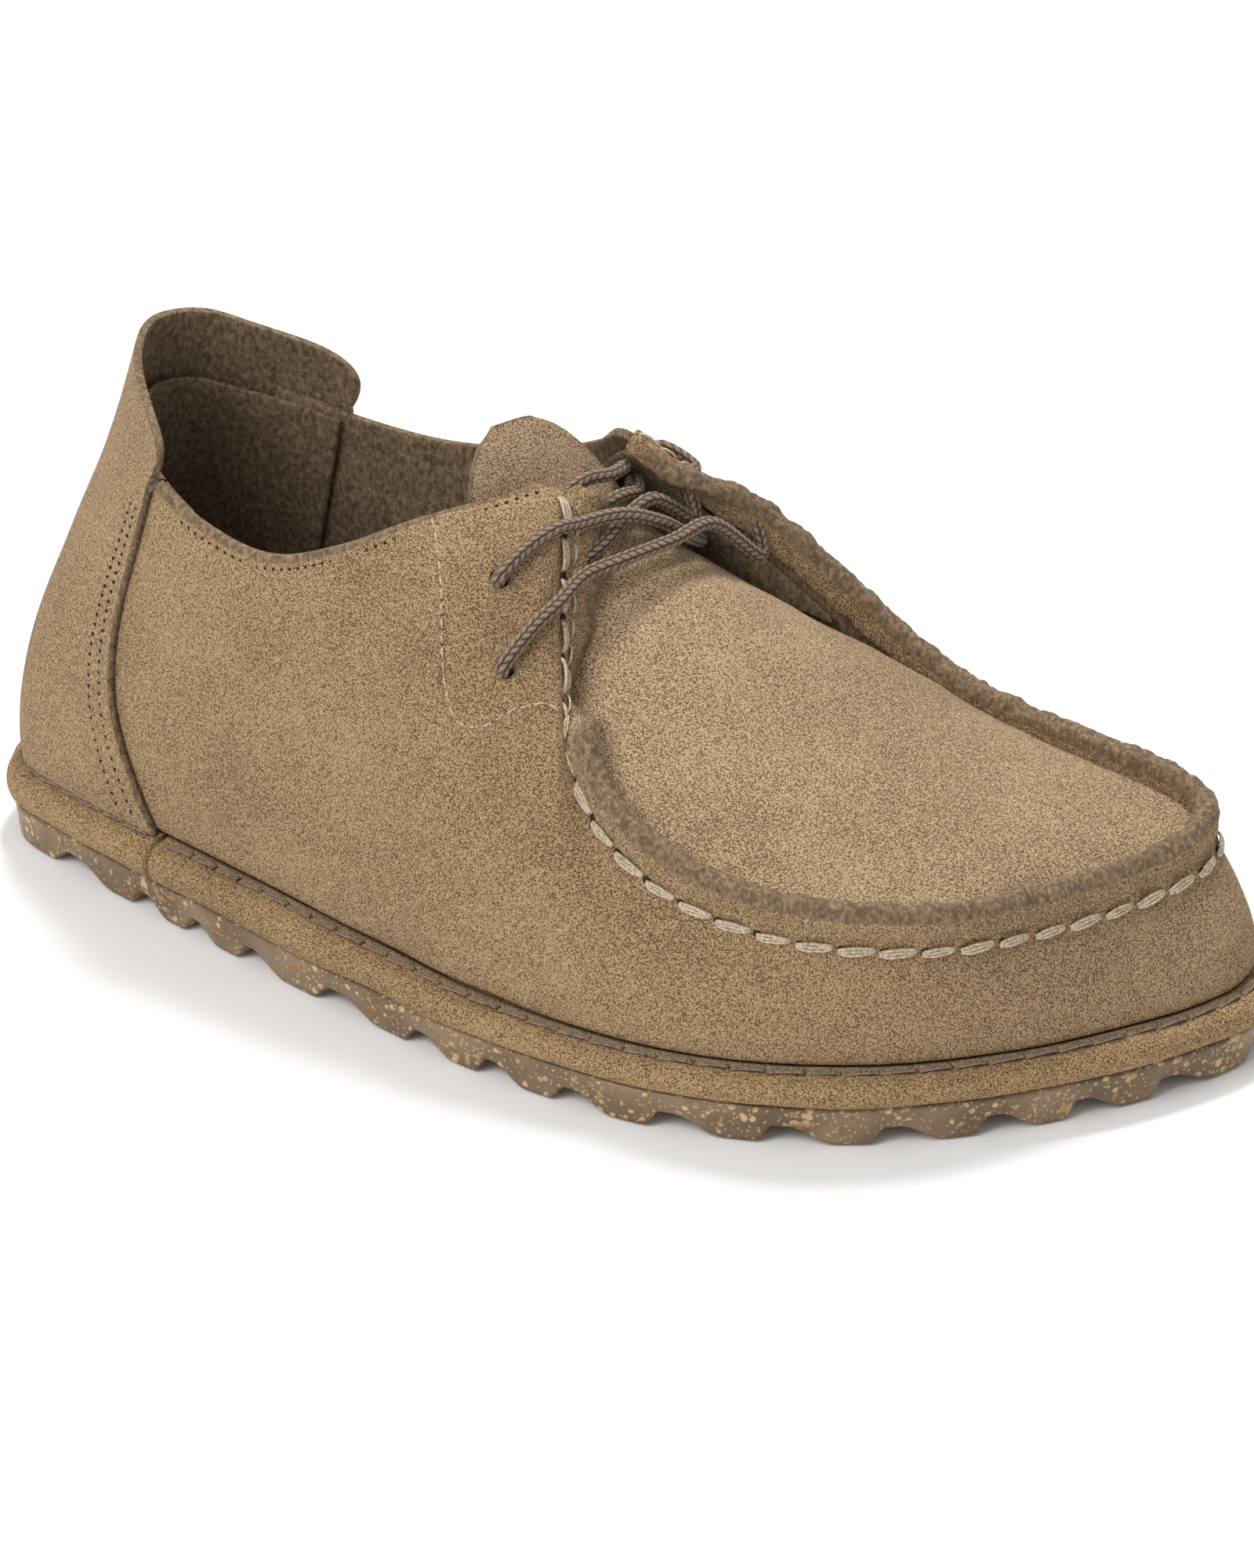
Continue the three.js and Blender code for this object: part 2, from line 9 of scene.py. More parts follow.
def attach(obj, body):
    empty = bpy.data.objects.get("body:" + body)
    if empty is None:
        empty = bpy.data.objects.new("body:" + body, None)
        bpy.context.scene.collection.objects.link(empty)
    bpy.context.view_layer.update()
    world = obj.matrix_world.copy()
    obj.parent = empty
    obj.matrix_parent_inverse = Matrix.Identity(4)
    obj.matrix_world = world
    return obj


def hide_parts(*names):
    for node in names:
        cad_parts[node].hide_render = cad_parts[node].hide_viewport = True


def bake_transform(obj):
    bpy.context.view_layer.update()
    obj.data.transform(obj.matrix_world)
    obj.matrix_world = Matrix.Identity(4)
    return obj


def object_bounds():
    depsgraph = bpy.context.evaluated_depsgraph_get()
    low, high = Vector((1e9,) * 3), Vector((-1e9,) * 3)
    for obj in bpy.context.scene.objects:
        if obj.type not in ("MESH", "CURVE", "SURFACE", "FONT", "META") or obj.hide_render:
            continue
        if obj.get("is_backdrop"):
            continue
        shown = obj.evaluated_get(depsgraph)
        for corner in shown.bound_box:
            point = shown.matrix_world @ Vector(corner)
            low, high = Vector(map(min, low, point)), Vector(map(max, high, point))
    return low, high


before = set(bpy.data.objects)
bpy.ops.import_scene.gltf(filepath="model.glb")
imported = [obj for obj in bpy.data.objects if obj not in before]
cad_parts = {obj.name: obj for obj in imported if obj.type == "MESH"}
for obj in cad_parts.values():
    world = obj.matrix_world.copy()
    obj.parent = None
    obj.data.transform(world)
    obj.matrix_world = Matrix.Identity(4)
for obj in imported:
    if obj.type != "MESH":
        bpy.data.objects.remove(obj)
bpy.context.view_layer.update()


# ---- Pattern -----------------------------------------------------------------------------
# The two lines that the leather is cut to: the sole's edge and the top edge of the wall that
# stands on it. Each row is one place round the shoe: x and y of the foot, x, y and z of the
# top edge, in millimetres, from the back of the heel along the outer side and round the toe.
MM = 0.001
PATTERN = np.array([
    [-4, 1, 27, 1, 102.5], [-2, -13, 30.5, -10, 101.5], [5, -23.5, 38, -19, 98],
    [24, -30, 48, -26, 94.5], [50, -36, 62, -31, 90], [76, -41.5, 80, -33, 88],
    [98, -46, 97, -32.5, 94], [116, -49, 111, -27, 101], [129, -51.3, 122, -18, 104.5],
    [139, -52.3, 132, -6.5, 105.5], [147, -52.8, 137, -13, 95], [154, -53, 141.5, -21, 83.5],
    [162, -53, 147.5, -31, 70.5], [171, -52.5, 157, -38, 59], [181, -51, 169, -41, 51.5],
    [193, -47.5, 184, -41.5, 47], [206, -42, 200, -38.5, 44.5], [219, -34, 213, -31, 42.5],
    [232, -22.5, 225, -20, 41], [243, -10, 234, -6, 40], [253, 4, 242, 9, 39.7],
    [261, 18, 248, 23, 40], [265.5, 32, 251, 35, 41], [263.5, 44, 248.5, 44.5, 42.5],
    [253, 52, 240, 48.5, 44], [237, 56, 227, 49.5, 45.5], [221, 57.5, 213, 50, 47],
    [206, 57.3, 200, 50, 49], [193, 56, 188, 49.5, 52.5], [181, 53.5, 176, 47, 60],
    [170, 50.5, 165, 41.5, 71], [160, 48, 154, 33, 84.5], [150, 46, 143.5, 22.5, 98],
    [140, 44, 132.5, 15, 109], [127, 41.5, 121, 24, 101], [111, 38.5, 109, 30.5, 94.5],
    [94, 36.5, 95, 33, 90], [74, 35.2, 79, 32, 88], [50, 35.5, 61, 28.5, 90],
    [24, 31, 48, 24.5, 94], [5, 24.5, 37.5, 18, 98], [-2, 14, 30.5, 10.5, 101.5],
])
ROWS = len(PATTERN)
CENTRE = np.array([131, 2, 0])
SOLE_TOP, GAP = 8 * MM, 0.3 * MM
RAND_HEEL, RAND_TOE = 8.7 * MM, 6.4 * MM
SEAM_INSET = 4 * MM
LEATHER = 2 * MM


def mix(a, b, f):
    return a + (b - a) * f


def smooth(a, b, x):
    t = np.clip((x - a) / (b - a), 0, 1)
    return t * t * (3 - 2 * t)


def place(x, y, z):
    return (np.array([x, y, z], float) - CENTRE) * MM


def unit(v):
    return v / np.linalg.norm(v, axis=-1, keepdims=True)


def grids(*values):
    """Numbers or arrays, all brought to one shape."""
    return np.broadcast_arrays(*(np.asarray(v, float) for v in values))


def walk(path):
    """How far along a path each of its points is."""
    return np.concatenate([[0], np.cumsum(np.linalg.norm(np.diff(path, axis=0), axis=1))])


def part_way(path, walked, marks):
    """The places at given distances along a path."""
    return np.stack([np.interp(marks, walked, path[:, i]) for i in range(3)], -1)


def spline(points, closed=False):
    """A smooth line through the points, as a function of their numbers."""
    p = np.array(points, float)
    if closed:
        q = np.concatenate([p[-1:], p, p[:2]])
    else:
        q = np.concatenate([2 * p[:1] - p[1:2], p, 2 * p[-1:] - p[-2:-1]])
    step = np.sqrt(np.linalg.norm(np.diff(q, axis=0), axis=1))[:, None]
    x0, x1, x2, x3 = q[:-3], q[1:-2], q[2:-1], q[3:]
    d0, d1, d2 = step[:-2], step[1:-1], step[2:]
    t1 = ((x1 - x0) / d0 - (x2 - x0) / (d0 + d1) + (x2 - x1) / d1) * d1
    t2 = ((x2 - x1) / d1 - (x3 - x1) / (d1 + d2) + (x3 - x2) / d2) * d1
    c2, c3 = 3 * (x2 - x1) - 2 * t1 - t2, 2 * (x1 - x2) + t1 + t2

    def at(t):
        t = np.asarray(t, float) % len(x1) if closed else np.asarray(t, float)
        i = np.clip(np.floor(t).astype(int), 0, len(x1) - 1)
        f = (t - i)[..., None]
        return x1[i] + f * (t1[i] + f * (c2[i] + f * c3[i]))
    return at


foot_line = spline([place(row[0], row[1], 0) for row in PATTERN], closed=True)
top_line = spline([place(*row[2:]) for row in PATTERN], closed=True)


def outward(row):
    along = foot_line(row + 0.15) - foot_line(row - 0.15)
    return unit(np.stack([along[..., 1], -along[..., 0], 0 * along[..., 0]], -1))


def seam_height(row):
    front = smooth(0.3, 0.6, foot_line(row)[..., 0] / 0.27 + 0.5)
    return SOLE_TOP + GAP + mix(RAND_HEEL, RAND_TOE, front)


def edge_point(row, out, z):
    p = foot_line(row) + outward(row) * np.asarray(out)[..., None]
    p[..., 2] = z
    return p


def wall_point(row, height):
    """Outside of the wall: height 0 at the rand seam, 1 at the top edge, over 1 past it."""
    row, height = grids(row, height)
    foot = edge_point(row, -SEAM_INSET, seam_height(row) + GAP)
    top = top_line(row)
    span = (top - foot) * [1, 1, 0]
    rise = top[..., 2] - foot[..., 2]
    instep = smooth(2 * MM, 26 * MM, np.abs(span[..., 1])) * smooth(8 * MM, 40 * MM, rise)
    low = foot + outward(row) * ((2 + 1.5 * instep) * MM)[..., None]
    low[..., 2] += mix(0.35, 0.5, instep) * rise
    high = top - span * mix(0.35, 0.5, instep)[..., None]
    high[..., 2] -= mix(0.35, 0.1, instep) * rise
    t = np.minimum(height, 1)[..., None]
    p = foot * (1 - t)**3 + 3 * low * t * (1 - t)**2 + 3 * high * t**2 * (1 - t) + top * t**3
    return p + unit(top - high) * (np.maximum(height - 1, 0) * rise)[..., None]


def facing_out(surface, a, b):
    """The direction that a surface of two numbers faces."""
    step = 0.01
    b = np.minimum(b, 1)
    da = surface(a + step, b) - surface(a - step, b)
    db = surface(a, np.minimum(b + step, 1)) - surface(a, b - step)
    return unit(np.cross(da, db))


def lifted(surface, a, b, by):
    a, b, by = grids(a, b, by)
    return surface(a, b) + facing_out(surface, a, b) * by[..., None]


def on_wall(row, height, by):
    return lifted(wall_point, row, height, by * MM)


def evenly(path, pitch, start=0.0):
    """Places a pitch apart along a dense path, with the direction of the path at each."""
    walked = walk(path)
    count = max(2, int(round((walked[-1] - start) / pitch)))
    marks = start + (np.arange(count) + 0.5) * (walked[-1] - start) / count
    spots, ahead, behind = (part_way(path, walked, marks + by)
                            for by in (0, pitch / 3, -pitch / 3))
    return spots, unit(ahead - behind), marks / walked[-1]


# ---- Shader maths and the suede ----------------------------------------------------------
# The leather is split suede: a short brushed nap in taupe on the outside, and a rougher, dark
# brown flesh side that shows inside the shoe and along the cut edges.
class Value:
    """A shader socket that can be used in sums."""

    def __init__(self, tree, socket):
        self.tree, self.socket = tree, socket

    def sum(self, operation, other, swapped=False):
        node = self.tree.nodes.new("ShaderNodeMath")
        node.operation = operation
        for i, item in enumerate((other, self) if swapped else (self, other)):
            if isinstance(item, Value):
                self.tree.links.new(item.socket, node.inputs[i])
            else:
                node.inputs[i].default_value = item
        return Value(self.tree, node.outputs[0])

    def __add__(self, other):
        return self.sum("ADD", other)

    def __radd__(self, other):
        return self.sum("ADD", other, True)

    def __sub__(self, other):
        return self.sum("SUBTRACT", other)

    def __rsub__(self, other):
        return self.sum("SUBTRACT", other, True)

    def __mul__(self, other):
        return self.sum("MULTIPLY", other)

    def __rmul__(self, other):
        return self.sum("MULTIPLY", other, True)


class Finish:
    """A material being made: its nodes, and the one surface shader that they feed."""

    def __init__(self, name, roughness, sheen=0.0, specular=0.2):
        self.material = bpy.data.materials.new(name)
        self.material.use_nodes = True
        self.tree = self.material.node_tree
        self.surface = self.tree.nodes["Principled BSDF"]
        self.surface.inputs["Roughness"].default_value = roughness
        self.surface.inputs["Sheen Weight"].default_value = sheen
        self.surface.inputs["Sheen Roughness"].default_value = 0.6
        self.surface.inputs["Specular IOR Level"].default_value = specular

    def node(self, kind, settings=None, sockets=None, out=0):
        node = self.tree.nodes.new(kind)
        for name, value in (settings or {}).items():
            setattr(node, name, value)
        for name, value in (sockets or {}).items():
            if isinstance(value, Value):
                self.tree.links.new(value.socket, node.inputs[name])
            else:
                node.inputs[name].default_value = value
        return Value(self.tree, node.outputs[out])

    def place(self, stretch=(1, 1, 1)):
        where = self.node("ShaderNodeTexCoord", out="Object")
        return self.node("ShaderNodeMapping", sockets={"Vector": where, "Scale": stretch})

    def grain(self, where, scale, detail=3, rough=0.55):
        return self.node("ShaderNodeTexNoise", sockets={
            "Vector": where, "Scale": scale, "Detail": detail, "Roughness": rough})

    def cells(self, where, scale, out="Distance"):
        return self.node("ShaderNodeTexVoronoi", {"feature": "F1"}, {
            "Vector": where, "Scale": scale, "Randomness": 1.0}, out=out)

    def band(self, value, low, high):
        return self.node("ShaderNodeMapRange", {"interpolation_type": "SMOOTHSTEP"}, {
            "Value": value, "From Min": low, "From Max": high})

    def blend(self, low, high, factor):
        node = self.tree.nodes.new("ShaderNodeMix")
        node.data_type = "RGBA"
        for i, item in ((0, factor), (6, low), (7, high)):
            if isinstance(item, Value):
                self.tree.links.new(item.socket, node.inputs[i])
            else:
                node.inputs[i].default_value = item if i == 0 else (*item, 1)
        return Value(self.tree, node.outputs[2])

    def layer(self, name):
        return self.node("ShaderNodeAttribute", {"attribute_name": name}, out="Fac")

    def feed(self, **inputs):
        for name, value in inputs.items():
            self.tree.links.new(value.socket, self.surface.inputs[name.replace("_", " ")])
        return self.material

    def bump(self, height, distance, strength=1.0):
        return self.node("ShaderNodeBump", sockets={
            "Height": height, "Distance": distance, "Strength": strength}, out="Normal")


def shade(colour, by):
    return tuple(c * by for c in colour)


FLESH = (0.260, 0.168, 0.098)
FLESH_FIBRE = (0.50, 0.35, 0.215)


def suede(name, colour, nap=1.0):
    m = Finish(name, 0.95, sheen=0.05, specular=0.1)
    where = m.place()
    brushed = m.grain(m.place((1, 1, 1.6)), 21, 4)
    patches = m.grain(where, 95, 3)
    pile = m.grain(m.place((1, 1, 1.3)), 2200, 4, 0.7)
    specks = m.grain(where, 3600, 2, 0.6)
    tone = (0.5 + 0.8 * (brushed - 0.5) + 0.35 * (patches - 0.5)
            + 5.2 * nap * (pile - 0.5) + 5.2 * nap * (specks - 0.5))
    red, green, blue = colour
    outside = m.blend((0.38 * red, 0.31 * green, 0.28 * blue),
                      (1.56 * red, 1.62 * green, 1.78 * blue), tone)
    fibres = m.grain(m.place((1.6, 1.6, 1)), 620, 5, 0.75)
    inside = m.blend(shade(FLESH, 0.36), FLESH_FIBRE, m.band(fibres, 0.3, 0.86))
    raw = m.layer("flesh")
    ragged = m.band(raw + 0.5 * (fibres - 0.5), 0.3, 0.62)
    height = 0.55 * pile + 0.3 * specks + 0.35 * patches + 0.9 * ragged * fibres
    return m.feed(Base_Color=m.blend(outside, inside, ragged),
                  Normal=m.bump(height, 0.00055, 0.75))


WALL_SUEDE = (0.310, 0.208, 0.106)
APRON_SUEDE = (0.360, 0.250, 0.138)
wall_suede = suede("wall_suede", WALL_SUEDE)
apron_suede = suede("apron_suede", APRON_SUEDE)


# ---- Outsole -----------------------------------------------------------------------------
# Moulded brown rubber with granules of cork in it: a thin band, a rim of wavy lugs cast in one
# with it, and rows of blocks under the foot. It is cemented on under the rand.
def add(name, data):
    """A new object in the scene."""
    thing = bpy.data.objects.new(name, data)
    bpy.context.scene.collection.objects.link(thing)
    return thing


def mark(mesh, name, values, kind="FLOAT", field="value"):
    """Writes a number, or a direction, on each point of a mesh."""
    layer = mesh.attributes.new(name, kind, "POINT")
    layer.data.foreach_set(field, np.ascontiguousarray(values, np.float32).ravel())


def skin(name, rings, finish, flesh=None, joined=False, capped="strip"):
    """A closed skin over rings of points that all have the same count."""
    n, m = rings.shape[:2]
    index = np.arange(n * m).reshape(n, m)
    a = index if joined else index[:-1]
    b = np.roll(index, -1, 0) if joined else index[1:]
    faces = np.stack([a, b, np.roll(b, -1, 1), np.roll(a, -1, 1)], -1).reshape(-1, 4).tolist()
    if not joined:
        for ring, order in ((index[0], 1), (index[-1], -1)):
            if capped == "strip":
                pairs = [(j, j + 1, m - 2 - j, m - 1 - j) for j in range(m // 2 - 1)]
            else:
                pairs = [tuple(range(m))]
            faces += [[int(ring[j]) for j in pair][::order] for pair in pairs]
    mesh = bpy.data.meshes.new(name)
    mesh.from_pydata(rings.reshape(-1, 3).tolist(), [], faces)
    here = rings if joined else rings[:-1]
    ahead = np.roll(rings, -1, 0) if joined else rings[1:]
    if np.einsum("...i,...i", here, np.cross(ahead, np.roll(here, -1, 1))).sum() < 0:
        mesh.flip_normals()
    if flesh is not None:
        mark(mesh, "flesh", flesh)
    mesh.shade_smooth()
    mesh.materials.append(finish)
    return add(name, mesh)


def keep(piece, node_names, body="root"):
    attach(piece, body)
    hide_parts(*node_names)
    return piece


def rubber_with_cork():
    m = Finish("cork_rubber", 0.42, specular=0.45)
    where = m.place()
    bent = m.grain(where, 240, 2)
    drift = m.node("ShaderNodeVectorMath", {"operation": "ADD"}, {
        0: where, 1: m.node("ShaderNodeVectorMath", {"operation": "SCALE"}, {
            0: m.node("ShaderNodeTexNoise", sockets={"Vector": where, "Scale": 300}, out="Color"),
            "Scale": 0.0016})})
    chips = m.cells(drift, 400)
    fines = m.cells(drift, 900)
    crowd = m.grain(where, 75, 2)
    chip = m.band(chips + 0.62 * (0.5 - crowd), 0.36, 0.24)
    fine = m.band(fines + 0.5 * (0.5 - crowd), 0.34, 0.2)
    rubber = m.blend((0.135, 0.085, 0.046), (0.26, 0.175, 0.10),
                     m.band(m.grain(where, 60, 4), 0.3, 0.7))
    warm = m.blend((0.26, 0.135, 0.055), (0.60, 0.42, 0.22), m.band(bent, 0.36, 0.6))
    colour = m.blend(m.blend(rubber, (0.52, 0.36, 0.19), 0.8 * fine), warm, chip)
    return m.feed(Base_Color=colour, Roughness=0.4 + 0.35 * chip,
                  Normal=m.bump(0.6 * chip + 0.25 * fine + 0.2 * bent, 0.0006, 0.6))


cork_rubber = rubber_with_cork()
LUG_PITCH, LUG_DEPTH = 20.5 * MM, 3.6 * MM
rows = np.linspace(0, ROWS, 1500, endpoint=False)
rim = foot_line(rows)
walked = walk(rim)
girth = walked[-1] + np.linalg.norm(rim[0] - rim[-1])
lugs_round = round(girth / LUG_PITCH)
turn = walked / girth * lugs_round
sway = turn + 0.16 * np.sin(turn * 2.4 * math.pi / 5.3) + 0.1 * np.sin(turn * 1.7)
phase = sway % 1
cleft = smooth(0, 0.15, phase) * (1 - smooth(0.27, 0.7, phase))
ripple = 0.5 + 0.5 * np.sin(turn * 9.1) * np.sin(turn * 5.3)
lift = LUG_DEPTH * np.clip(cleft * (0.94 + 0.06 * ripple), 0, 1)
inset = 0.5 * MM + 0.5 * MM * cleft
stations = []
for out, z in ((-0.5, 8.0), (0.1, 7.7), (0.25, 7.0), (0.15, 5.6)):
    stations.append(edge_point(rows, out * MM - 0.3 * inset, z * MM))
for share in (0.45, 0.2, 0.06):
    stations.append(edge_point(rows, -0.6 * inset, lift + (5.6 * MM - lift) * share))
stations.append(edge_point(rows, -1.3 * MM - inset, lift))
stations.append(edge_point(rows, -6.5 * MM, lift))
stations.append(edge_point(rows, -(12 + 1.5 * ripple) * MM, lift))
stations.append(edge_point(rows, -14.2 * MM, LUG_DEPTH))
spine_x = np.clip(rim[:, 0], -0.100, 0.095)
spine = np.stack([spine_x, 0.002 * smooth(0, 0.095, spine_x), 0 * spine_x], -1)
under = stations[-1]
for share in (0.5, 0.06):
    stations.append(mix(spine, under, share) * [1, 1, 0] + [0, 0, LUG_DEPTH])
top = edge_point(rows, -1.2 * MM, SOLE_TOP)
for share in (0.06, 0.6, 1):
    stations.append(mix(spine, top, share) * [1, 1, 0] + [0, 0, SOLE_TOP])
outsole = skin("outsole_rubber", np.stack(stations, 1), cork_rubber, joined=True)
keep(outsole, ["outsole"])


def copies_tree():
    """Puts a copy of an object on each point, turned to the point's own directions."""
    tree = bpy.data.node_groups.new("copies_on_points", "GeometryNodeTree")
    for name, kind in (("Geometry", "NodeSocketGeometry"), ("Copy", "NodeSocketObject"),
                       ("Finish", "NodeSocketMaterial"), ("Unevenness", "NodeSocketFloat")):
        tree.interface.new_socket(name, in_out="INPUT", socket_type=kind)
    tree.interface.new_socket("Geometry", in_out="OUTPUT", socket_type="NodeSocketGeometry")

    def node(kind, settings=None, **links):
        one = tree.nodes.new(kind)
        for name, value in (settings or {}).items():
            setattr(one, name, value)
        for name, value in links.items():
            socket = one.inputs[name.replace("_", " ")]
            if isinstance(value, bpy.types.NodeSocket):
                tree.links.new(value, socket)
            else:
                socket.default_value = value
        return one

    given = node("NodeGroupInput")

    def from_one(operation):
        """1 less or more the unevenness."""
        one = node("ShaderNodeMath", {"operation": operation})
        one.inputs[0].default_value = 1
        tree.links.new(given.outputs["Unevenness"], one.inputs[1])
        return one.outputs[0]

    along = node("GeometryNodeInputNamedAttribute", {"data_type": "FLOAT_VECTOR"}, Name="along")
    out = node("GeometryNodeInputNamedAttribute", {"data_type": "FLOAT_VECTOR"}, Name="out")
    first = node("FunctionNodeAlignRotationToVector", {"axis": "X"}, Vector=along.outputs[0])
    second = node("FunctionNodeAlignRotationToVector", {"axis": "Z", "pivot_axis": "X"},
                  Rotation=first.outputs[0], Vector=out.outputs[0])
    size = node("FunctionNodeRandomValue", {"data_type": "FLOAT"}, Seed=7)
    tree.links.new(from_one("SUBTRACT"), size.inputs[2])
    tree.links.new(from_one("ADD"), size.inputs[3])
    copy = node("GeometryNodeObjectInfo", Object=given.outputs["Copy"])
    put = node("GeometryNodeInstanceOnPoints", Points=given.outputs["Geometry"],
               Instance=copy.outputs["Geometry"], Rotation=second.outputs[0])
    tree.links.new(size.outputs[1], put.inputs["Scale"])
    real = node("GeometryNodeRealizeInstances", Geometry=put.outputs[0])
    done = node("GeometryNodeSetMaterial", Geometry=real.outputs[0],
                Material=given.outputs["Finish"])
    end = node("NodeGroupOutput")
    tree.links.new(done.outputs[0], end.inputs[0])
    return tree


copies = copies_tree()
SOCKETS = {s.name: s.identifier for s in copies.interface.items_tree if s.in_out == "INPUT"}


def apply_modifier(thing, modifier):
    """Makes what a modifier gives into the object's own mesh."""
    result = thing.evaluated_get(bpy.context.evaluated_depsgraph_get())
    mesh = bpy.data.meshes.new_from_object(result)
    thing.modifiers.remove(modifier)
    thing.data = mesh


def repeat(name, spots, along, out, copy, finish, unevenness=0.08):
    """One plain mesh of a copy at each spot."""
    mesh = bpy.data.meshes.new(name)
    mesh.from_pydata(np.asarray(spots).tolist(), [], [])
    mark(mesh, "along", along, "FLOAT_VECTOR", "vector")
    mark(mesh, "out", out, "FLOAT_VECTOR", "vector")
    thing = add(name, mesh)
    maker = thing.modifiers.new("copies", "NODES")
    maker.node_group = copies
    maker[SOCKETS["Copy"]] = copy
    maker[SOCKETS["Finish"]] = finish
    maker[SOCKETS["Unevenness"]] = unevenness
    apply_modifier(thing, maker)
    for key in ("along", "out"):
        if key in thing.data.attributes:
            thing.data.attributes.remove(thing.data.attributes[key])
    thing.data.shade_smooth()
    return thing


def block(length, width, depth, bevel):
    """A rubber block with soft corners, hanging from the band."""
    rings = []
    for x, y, z in ((length / 2, width / 2, depth), (length / 2, width / 2, bevel),
                    (length / 2 - bevel, width / 2 - bevel, 0.0),
                    (length * 0.1, width * 0.1, 0.0)):
        corners = [(-x, -y), (0, -y), (x, -y), (x, 0), (x, y), (0, y), (-x, y), (-x, 0)]
        rings.append([(u, v, z) for u, v in corners])
    return skin("rubber_block", np.array(rings), cork_rubber, capped="fan")


def inside_by(point):
    gap = rim - point
    i = np.argmin(np.linalg.norm(gap, axis=1))
    return float((gap[i] * outward(rows[i:i + 1])[0]).sum())


BLOCK_DEPTH, BLOCK_BEVEL = 4 * MM, 0.8 * MM
PAD = (56 * MM, 24 * MM)
STUD_STEP = (17, 19)
RIM_WIDTH, PAD_CLEAR = 24 * MM, 9 * MM
spots = []
for i in range(-8, 9):
    for j in range(-3, 4):
        across = j + (0.5 if i % 2 else 0)
        spot = np.array([i * STUD_STEP[0] * MM, across * STUD_STEP[1] * MM, 0])
        on_pad = all(abs(spot[k]) < PAD[k] / 2 + PAD_CLEAR for k in (0, 1))
        if inside_by(spot) > RIM_WIDTH and not on_pad:
            spots.append(spot)
level = np.tile([0.0, 1.0, 0.0], (len(spots), 1))
upright = np.tile([0.0, 0.0, 1.0], (len(spots), 1))
stud = block(13 * MM, 11 * MM, BLOCK_DEPTH, BLOCK_BEVEL)
studs = repeat("outsole_blocks", spots, level, upright, stud, cork_rubber, 0.0)
bpy.data.objects.remove(stud)
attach(studs, "root")
pad = block(*PAD, BLOCK_DEPTH, BLOCK_BEVEL)
pad.name = "outsole_waist_pad"
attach(pad, "root")


# ---- Footbed and stiffener ---------------------------------------------------------------
# The cork-and-latex footbed with its suede liner lies on the outsole inside the rand, and the
# heel stiffener stands between the counter and the lining. All three are glued in and are seen
# only down the collar.
def cork_board(name, low, high, scale):
    m = Finish(name, 0.85)
    where = m.place()
    grey = m.node("ShaderNodeSeparateColor", sockets={"Color": m.cells(where, scale, "Color")})
    return m.feed(Base_Color=m.blend(low, high, grey),
                  Normal=m.bump(m.cells(where, scale), 0.0004, 0.5))


def dress(node_name, finish):
    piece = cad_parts[node_name]
    piece.data.materials.clear()
    piece.data.materials.append(finish)


footbed_cork = cork_board("footbed_cork", (0.24, 0.12, 0.05), (0.5, 0.31, 0.16), 420)
dress("footbed_core", footbed_cork)
stiffener_board = cork_board("stiffener_board", (0.34, 0.26, 0.17), (0.42, 0.33, 0.22), 900)
dress("heel_stiffener", stiffener_board)
liner_suede = suede("liner_suede", (0.085, 0.052, 0.031), 0.8)
dress("footbed_liner", liner_suede)


# ---- Stitches ----------------------------------------------------------------------------
# One loop of waxed thread, one to three strands side by side, bowed up off the leather with its
# ends down in the needle holes; and the mouth of an empty needle hole, a near-black disc that is
# painted shade for the hole's dark inside.
def thread_finish(name, colour, dark):
    m = Finish(name, 0.7, sheen=0.1)
    where = m.place()
    fuzz = m.grain(where, 1900, 3, 0.7)
    return m.feed(Base_Color=m.blend(dark, colour, m.band(fuzz, 0.3, 0.62)),
                  Normal=m.bump(fuzz, 0.0002, 0.6))


beige_thread = thread_finish("beige_thread", (0.64, 0.53, 0.39), (0.24, 0.17, 0.11))
brown_thread = thread_finish("brown_thread", (0.31, 0.215, 0.145), (0.10, 0.062, 0.042))
# Needle holes are drawn as near-black discs: painted shade for the dark inside of each hole.
hole_shade_finish = Finish("needle_hole", 0.95)
hole_shade_finish.surface.inputs["Base Color"].default_value = (0.035, 0.02, 0.012, 1)
hole_painted_shade = hole_shade_finish.material


def tube(name, path, radius, sides, finish):
    """A round tube along a path, with closed ends."""
    path = np.asarray(path, float)
    ahead = unit(np.gradient(path, axis=0))
    side = np.zeros_like(path)
    guess = np.array([0.0, 0.0, 1.0]) if abs(ahead[0, 2]) < 0.9 else np.array([0.0, 1.0, 0.0])
    for i, a in enumerate(ahead):
        guess = guess - a * (guess @ a)
        guess /= np.linalg.norm(guess)
        side[i] = guess
    up = np.cross(ahead, side)
    turn = np.linspace(0, 2 * math.pi, sides, endpoint=False)
    r = np.broadcast_to(np.asarray(radius, float), (len(path), sides))[..., None]
    rings = path[:, None] + r * (np.cos(turn)[None, :, None] * side[:, None]
                                 + np.sin(turn)[None, :, None] * up[:, None])
    return skin(name, rings, finish, capped="fan")


def joined_up(name, things):
    """Several meshes made into one."""
    verts, faces, count = [], [], 0
    for thing in things:
        mesh = thing.data
        verts += [tuple(v.co) for v in mesh.vertices]
        faces += [[count + i for i in p.vertices] for p in mesh.polygons]
        count += len(mesh.vertices)
    mesh = bpy.data.meshes.new(name)
    mesh.from_pydata(verts, [], faces)
    mesh.materials.append(things[0].data.materials[0])
    mesh.shade_smooth()
    for thing in things:
        bpy.data.objects.remove(thing)
    return add(name, mesh)


